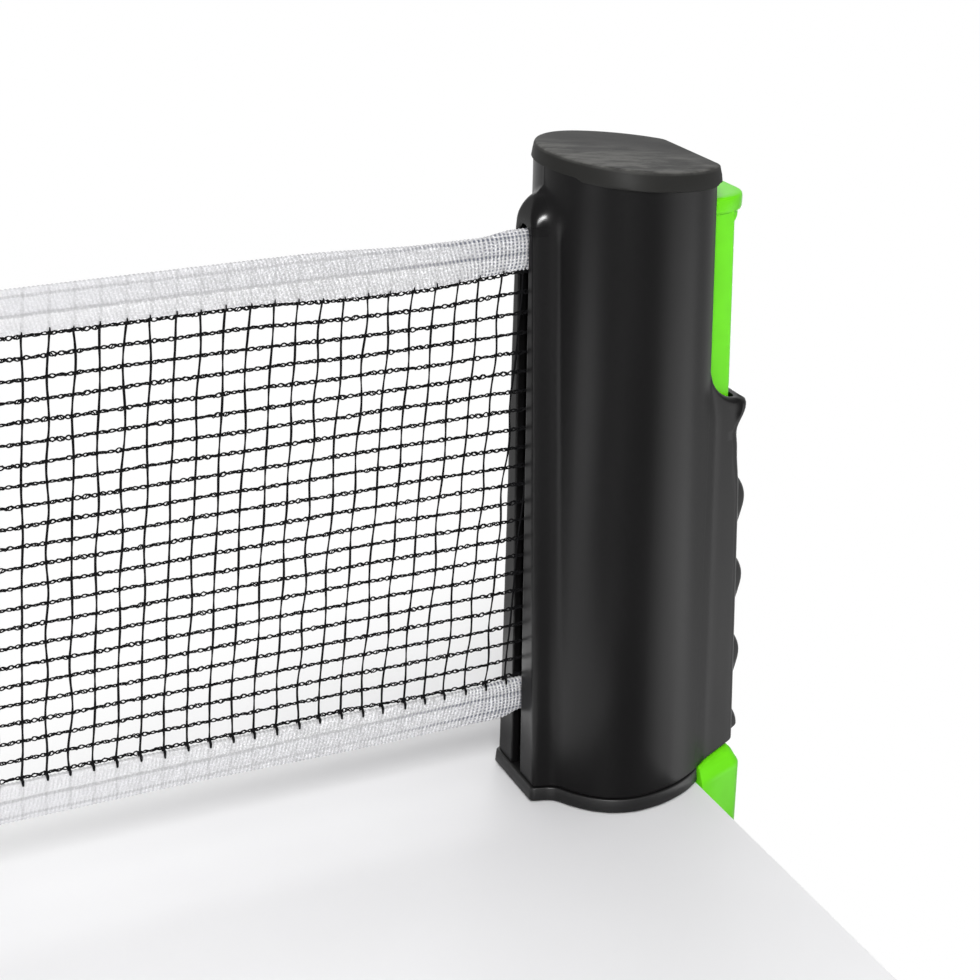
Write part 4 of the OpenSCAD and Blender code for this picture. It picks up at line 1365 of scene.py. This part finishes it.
def tape_strip(form, lay, n, z0, z1, outer, span, curl=0.0, sags=None):
    """A folded knitted tape along the net, ribbed across and scalloped along its fold."""
    skin, lining = tape_section(n, z0, z1, outer)
    middle, tall = (z0 + z1) / 2, abs(z1 - z0)
    steps = max(8, int(span / (0.25 * MM)))
    rings = []
    for i in range(steps + 1):
        u = span * i / steps
        swell = sin(pi * u / MM) ** 2 - 0.5
        near = ease((u - span + 7 * MM) / (6 * MM)) if curl else 0
        low, high = [sag(lay(u, 0, 0)[0] / MM) for sag in sags] if sags else (0, 0)
        ring = []
        for k, (w, z) in enumerate(skin + lining):
            if k < len(skin):
                w += 0.09 * MM * swell * ((w > 0) - (w < 0))
                edge = clamp((abs(z - middle) / tall - 0.42) / 0.08)
                z += (0.16 * MM * swell - 0.08 * MM) * edge * (1 if z > middle else -1)
            share = (z - z0) / (z1 - z0)
            z += near * curl * clamp(1 - share)
            ring.append(lay(u, w, z + mix(low, high, share)))
        rings.append(ring)
    form.loft(rings)


class NETCLAMP_OT_net(bpy.types.Operator):
    """Build the stretched net and its two tapes, from the slot to the free end"""

    bl_idname = "net_clamp.net"
    bl_label = "Net"

    def execute(self, context):
        n = context.scene.net_clamp_net
        p = NetPlace(n)
        span, tall = p.out, p.mesh_high - p.mesh_low
        form = Form()
        netting(form, p.straight, n, p, span, 11, True)
        mesh_piece = form.piece("netting", "net_cord", "housing", ["net_mesh"], crease=60)
        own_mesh(mesh_piece)
        for name, node, z0, z1, outer, curl, sags in (
                ("top_tape", "net_top_tape", p.mesh_high, p.top, 1, 0, (top_row_sag, top_tape_sag)),
                ("bottom_tape", "net_bottom_tape", p.bottom, p.mesh_low, -1, 1.6 * MM,
                 (bottom_tape_sag, bottom_row_sag))):
            form = Form()
            tape_strip(form, p.straight, n, z0, z1, outer, span, curl, sags)
            tape = form.piece(name, "white_tape", "housing", [node], crease=50)
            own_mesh(tape)
        return {"FINISHED"}


def spiral(r_in, r_out, turns):
    """A lay for cloth wound on the reel, and the length that it takes up."""
    total = pi * (r_in + r_out) * turns

    def lay(u, w, z):
        r = mix(r_in, r_out, u / total) + w
        a = tau * turns * u / total
        return (r * cos(a), r * sin(a), z)

    return lay, total


class NETCLAMP_OT_wound_net(bpy.types.Operator):
    """Build the run of net inside the housing and the roll on the reel"""

    bl_idname = "net_clamp.wound_net"
    bl_label = "Wound net"

    def execute(self, context):
        n = context.scene.net_clamp_net
        p = NetPlace(n)
        form = Form()
        netting(form, p.leading, n, p, p.lead_len, 5)
        tape_strip(form, p.leading, n, p.mesh_high, p.top, 1, p.lead_len)
        tape_strip(form, p.leading, n, p.bottom, p.mesh_low, -1, p.lead_len)
        lead_piece = form.piece("net_lead", "net_cord", "housing", ["net_lead_in"], crease=60)
        lead_piece.data.materials.append(finish("white_tape"))
        for face in lead_piece.data.polygons:
            if not p.mesh_low <= face.center.z <= p.mesh_high:
                face.material_index = 1
        turns, filled = 9, 0.86
        tape_r = n.roll_r + n.bulge
        for name, node, slot, low, high, r_out in (
                ("roll_mesh", "wound_mesh", "net_cord", p.mesh_low, p.mesh_high, n.roll_r),
                ("roll_top_tape", "wound_top_tape", "white_tape", p.mesh_high, p.top, tape_r),
                ("roll_bottom_tape", "wound_bottom_tape", "white_tape", p.bottom, p.mesh_low, tape_r)):
            pitch = (r_out - n.tube_r) / turns
            half = pitch * filled / 2
            lay, total = spiral(n.tube_r + pitch / 2, r_out - pitch / 2, turns)
            heights = spread(low + 0.2 * MM, high - 0.2 * MM, 6)
            section = [(-half, z) for z in reversed(heights)] + [(half, z) for z in heights]
            form = Form()
            form.loft([[lay(u, w, z) for w, z in section] for u in spread(0, total, turns * 40)])
            roll = form.piece(name, slot, "reel", [node], crease=50)
        return {"FINISHED"}


class NETCLAMP_OT_batten(bpy.types.Operator):
    """Build the bar at the net's free end and its hooks"""

    bl_idname = "net_clamp.batten"
    bl_label = "End bar"

    def execute(self, context):
        low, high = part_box("end_batten")
        x, r = (low.x + high.x) / 2, (high.x - low.x) / 2
        ends = [(0.0, 0.8), (0.1, 0.93), (0.4, 1.0)]
        steps = [(low.z + rise * r, share) for rise, share in ends]
        steps += [(z, 1.0) for z in spread(low.z + 5 * MM, high.z - 5 * MM, 8)]
        steps += [(high.z - rise * r, share) for rise, share in reversed(ends)]
        form = Form()
        form.loft([circle(x, 0, r * share, z, 40) for z, share in steps])
        form.piece("end_bar", "batten_black", "net_end", ["end_batten"], crease=40)
        dress("batten_hooks", "batten_black")
        return {"FINISHED"}


class NETCLAMP_OT_reel(bpy.types.Operator):
    """Finish the reel's tube, plugs, bushes, spring, spindle and pins"""

    bl_idname = "net_clamp.reel"
    bl_label = "Reel"

    def execute(self, context):
        for slot, nodes in (("spindle_steel", ["reel_spindle"]), ("tube_aluminium", ["reel_tube"]),
                            ("inner_plastic", ["spring_collar", "reel_lower_plug", "reel_upper_plug"]),
                            ("pin_steel", ["shell_spring_pins", "slider_spring_pins"]),
                            ("bush_brass", ["lower_bush", "upper_bush"]), ("spring_steel", ["return_spring"])):
            for node in nodes:
                dress(node, slot)
        return {"FINISHED"}


# ---- Stage ----

def softbox(name, watts, place, target, width, height, shows="everywhere"):
    """A soft lamp. One that shows in gloss only stands for a reflector card and lights nothing."""
    lamp = bpy.data.lights.new(name, "AREA")
    lamp.shape = "RECTANGLE"
    lamp.size, lamp.size_y, lamp.energy = width, height, watts
    made = show(name, lamp)
    made.visible_camera = False
    made.visible_diffuse = shows != "in gloss"
    made.visible_glossy = shows != "on matt walls"
    made.location = place
    made.rotation_euler = (Vector(target) - Vector(place)).to_track_quat("-Z", "Y").to_euler()


def studio_world(strength):
    """Even light from all round, which looks white to the camera, in gloss and through glass."""
    world = bpy.data.worlds.new("studio")
    bpy.context.scene.world = world
    m = Maker(world)
    light, white = [m.node("ShaderNodeBackground", None, {"Color": (1, 1, 1, 1), "Strength": power})
                    for power in (strength, 1.0)]
    m.node("ShaderNodeOutputWorld", None,
           {"Surface": m.node("ShaderNodeMixShader", None, {0: m.looked_at(), 1: light, 2: white})})


def board_form(t, edge_x):
    """The table's board with softened edges, one of them under the post's back."""
    soft, low, far = 0.6 * MM, -t.board_t, t.board_reach
    profile = ((soft, low), (0, soft + low), (0, -soft), (soft * 0.3, -soft * 0.3), (soft, 0))
    form = Form()
    form.loft([[(x + (inset if x < 0 else -inset), y + (inset if y < 0 else -inset), z)
                for x, y in ((-far, -far), (edge_x, -far), (edge_x, far), (-far, far))]
               for inset, z in profile])
    return form


class NETCLAMP_OT_stage(bpy.types.Operator):
    """Build the board, the lamps and the camera"""

    bl_idname = "net_clamp.stage"
    bl_label = "Stage"

    def execute(self, context):
        t = context.scene.net_clamp_stage
        board = board_form(t, context.scene.net_clamp_housing.edge_x).piece("board", "table_white", None)
        studio_world(t.sky)
        softbox("key_lamp", t.key, (0.2, 0.8, 0.65), (0, 0, 0.06), 0.7, 0.5)
        softbox("fill_lamp", t.fill, (0.35, -0.9, 0.35), (0, 0, 0.08), 0.4, 0.7)
        softbox("front_lamp", t.front, (-0.33, -0.68, 0.72), (-0.08, 0, 0.03), 0.28, 0.28, "on matt walls")
        softbox("edge_lamp", t.edge, (0.52, 0.6, -0.24), (0.03, -0.01, 0.08), 0.1, 0.5, "in gloss")
        softbox("knuckle_lamp", t.knuckle, (-0.4, -0.77, 0.46), (-0.02, -0.005, 0.156), 0.14, 0.14, "in gloss")
        softbox("side_card", t.side, (0.62, -0.42, -0.2), (0.01, -0.02, 0.09), 0.56, 0.45, "in gloss")
        softbox("net_card", t.net, (-0.145, -0.005, 0.002), (-0.145, -0.005, 1), 0.21, 0.15, "in gloss")
        softbox("far_card", t.far, (-0.39, -0.1, 0.002), (-0.39, -0.1, 1), 0.28, 0.18, "in gloss")
        camera = bpy.data.cameras.new("camera")
        camera.lens, camera.sensor_width = t.lens, 36
        camera.clip_start, camera.clip_end = 0.01, 20
        made = show("camera", camera)
        right, above = Vector((0.91127, -0.41170, 0.00853)), Vector((0.15699, 0.36647, 0.91710))
        turned = Matrix((right, above, right.cross(above))).transposed()
        made.matrix_world = Matrix.Translation((-0.2193, -0.40940, 0.28185)) @ turned.to_4x4()
        context.scene.camera = made
        context.scene.view_settings.view_transform = "Standard"
        return {"FINISHED"}


# ---- Add-on ----

SETTINGS = {"net_clamp_colours": NetClampColours, "net_clamp_housing": NetClampHousing,
            "net_clamp_slider": NetClampSlider, "net_clamp_net": NetClampNet, "net_clamp_stage": NetClampStage}
OPERATORS = (NETCLAMP_OT_stage, NETCLAMP_OT_housing, NETCLAMP_OT_cap, NETCLAMP_OT_foot, NETCLAMP_OT_slider,
             NETCLAMP_OT_jaw_pad, NETCLAMP_OT_clamp_springs, NETCLAMP_OT_net, NETCLAMP_OT_wound_net,
             NETCLAMP_OT_batten, NETCLAMP_OT_reel)


class NETCLAMP_PT_panel(bpy.types.Panel):
    """Pieces of the net clamp"""

    bl_label = "Net Clamp"
    bl_idname = "NETCLAMP_PT_panel"
    bl_space_type = "VIEW_3D"
    bl_region_type = "UI"
    bl_category = "Net Clamp"

    def draw(self, context):
        for operator in OPERATORS:
            self.layout.operator(operator.bl_idname)
        for name in SETTINGS:
            box = self.layout.box()
            group = getattr(context.scene, name)
            for key in group.__annotations__:
                box.prop(group, key, text=key.replace("_", " ").capitalize())


def register():
    for kind in (*SETTINGS.values(), *OPERATORS, NETCLAMP_PT_panel):
        bpy.utils.register_class(kind)
    for name, group in SETTINGS.items():
        setattr(bpy.types.Scene, name, bpy.props.PointerProperty(type=group))


def unregister():
    for name in SETTINGS:
        delattr(bpy.types.Scene, name)
    for kind in (NETCLAMP_PT_panel, *reversed(OPERATORS), *SETTINGS.values()):
        bpy.utils.unregister_class(kind)


def main():
    register()
    for operator in OPERATORS:
        group, name = operator.bl_idname.split(".")
        getattr(getattr(bpy.ops, group), name)()


if __name__ == "__main__":
    main()
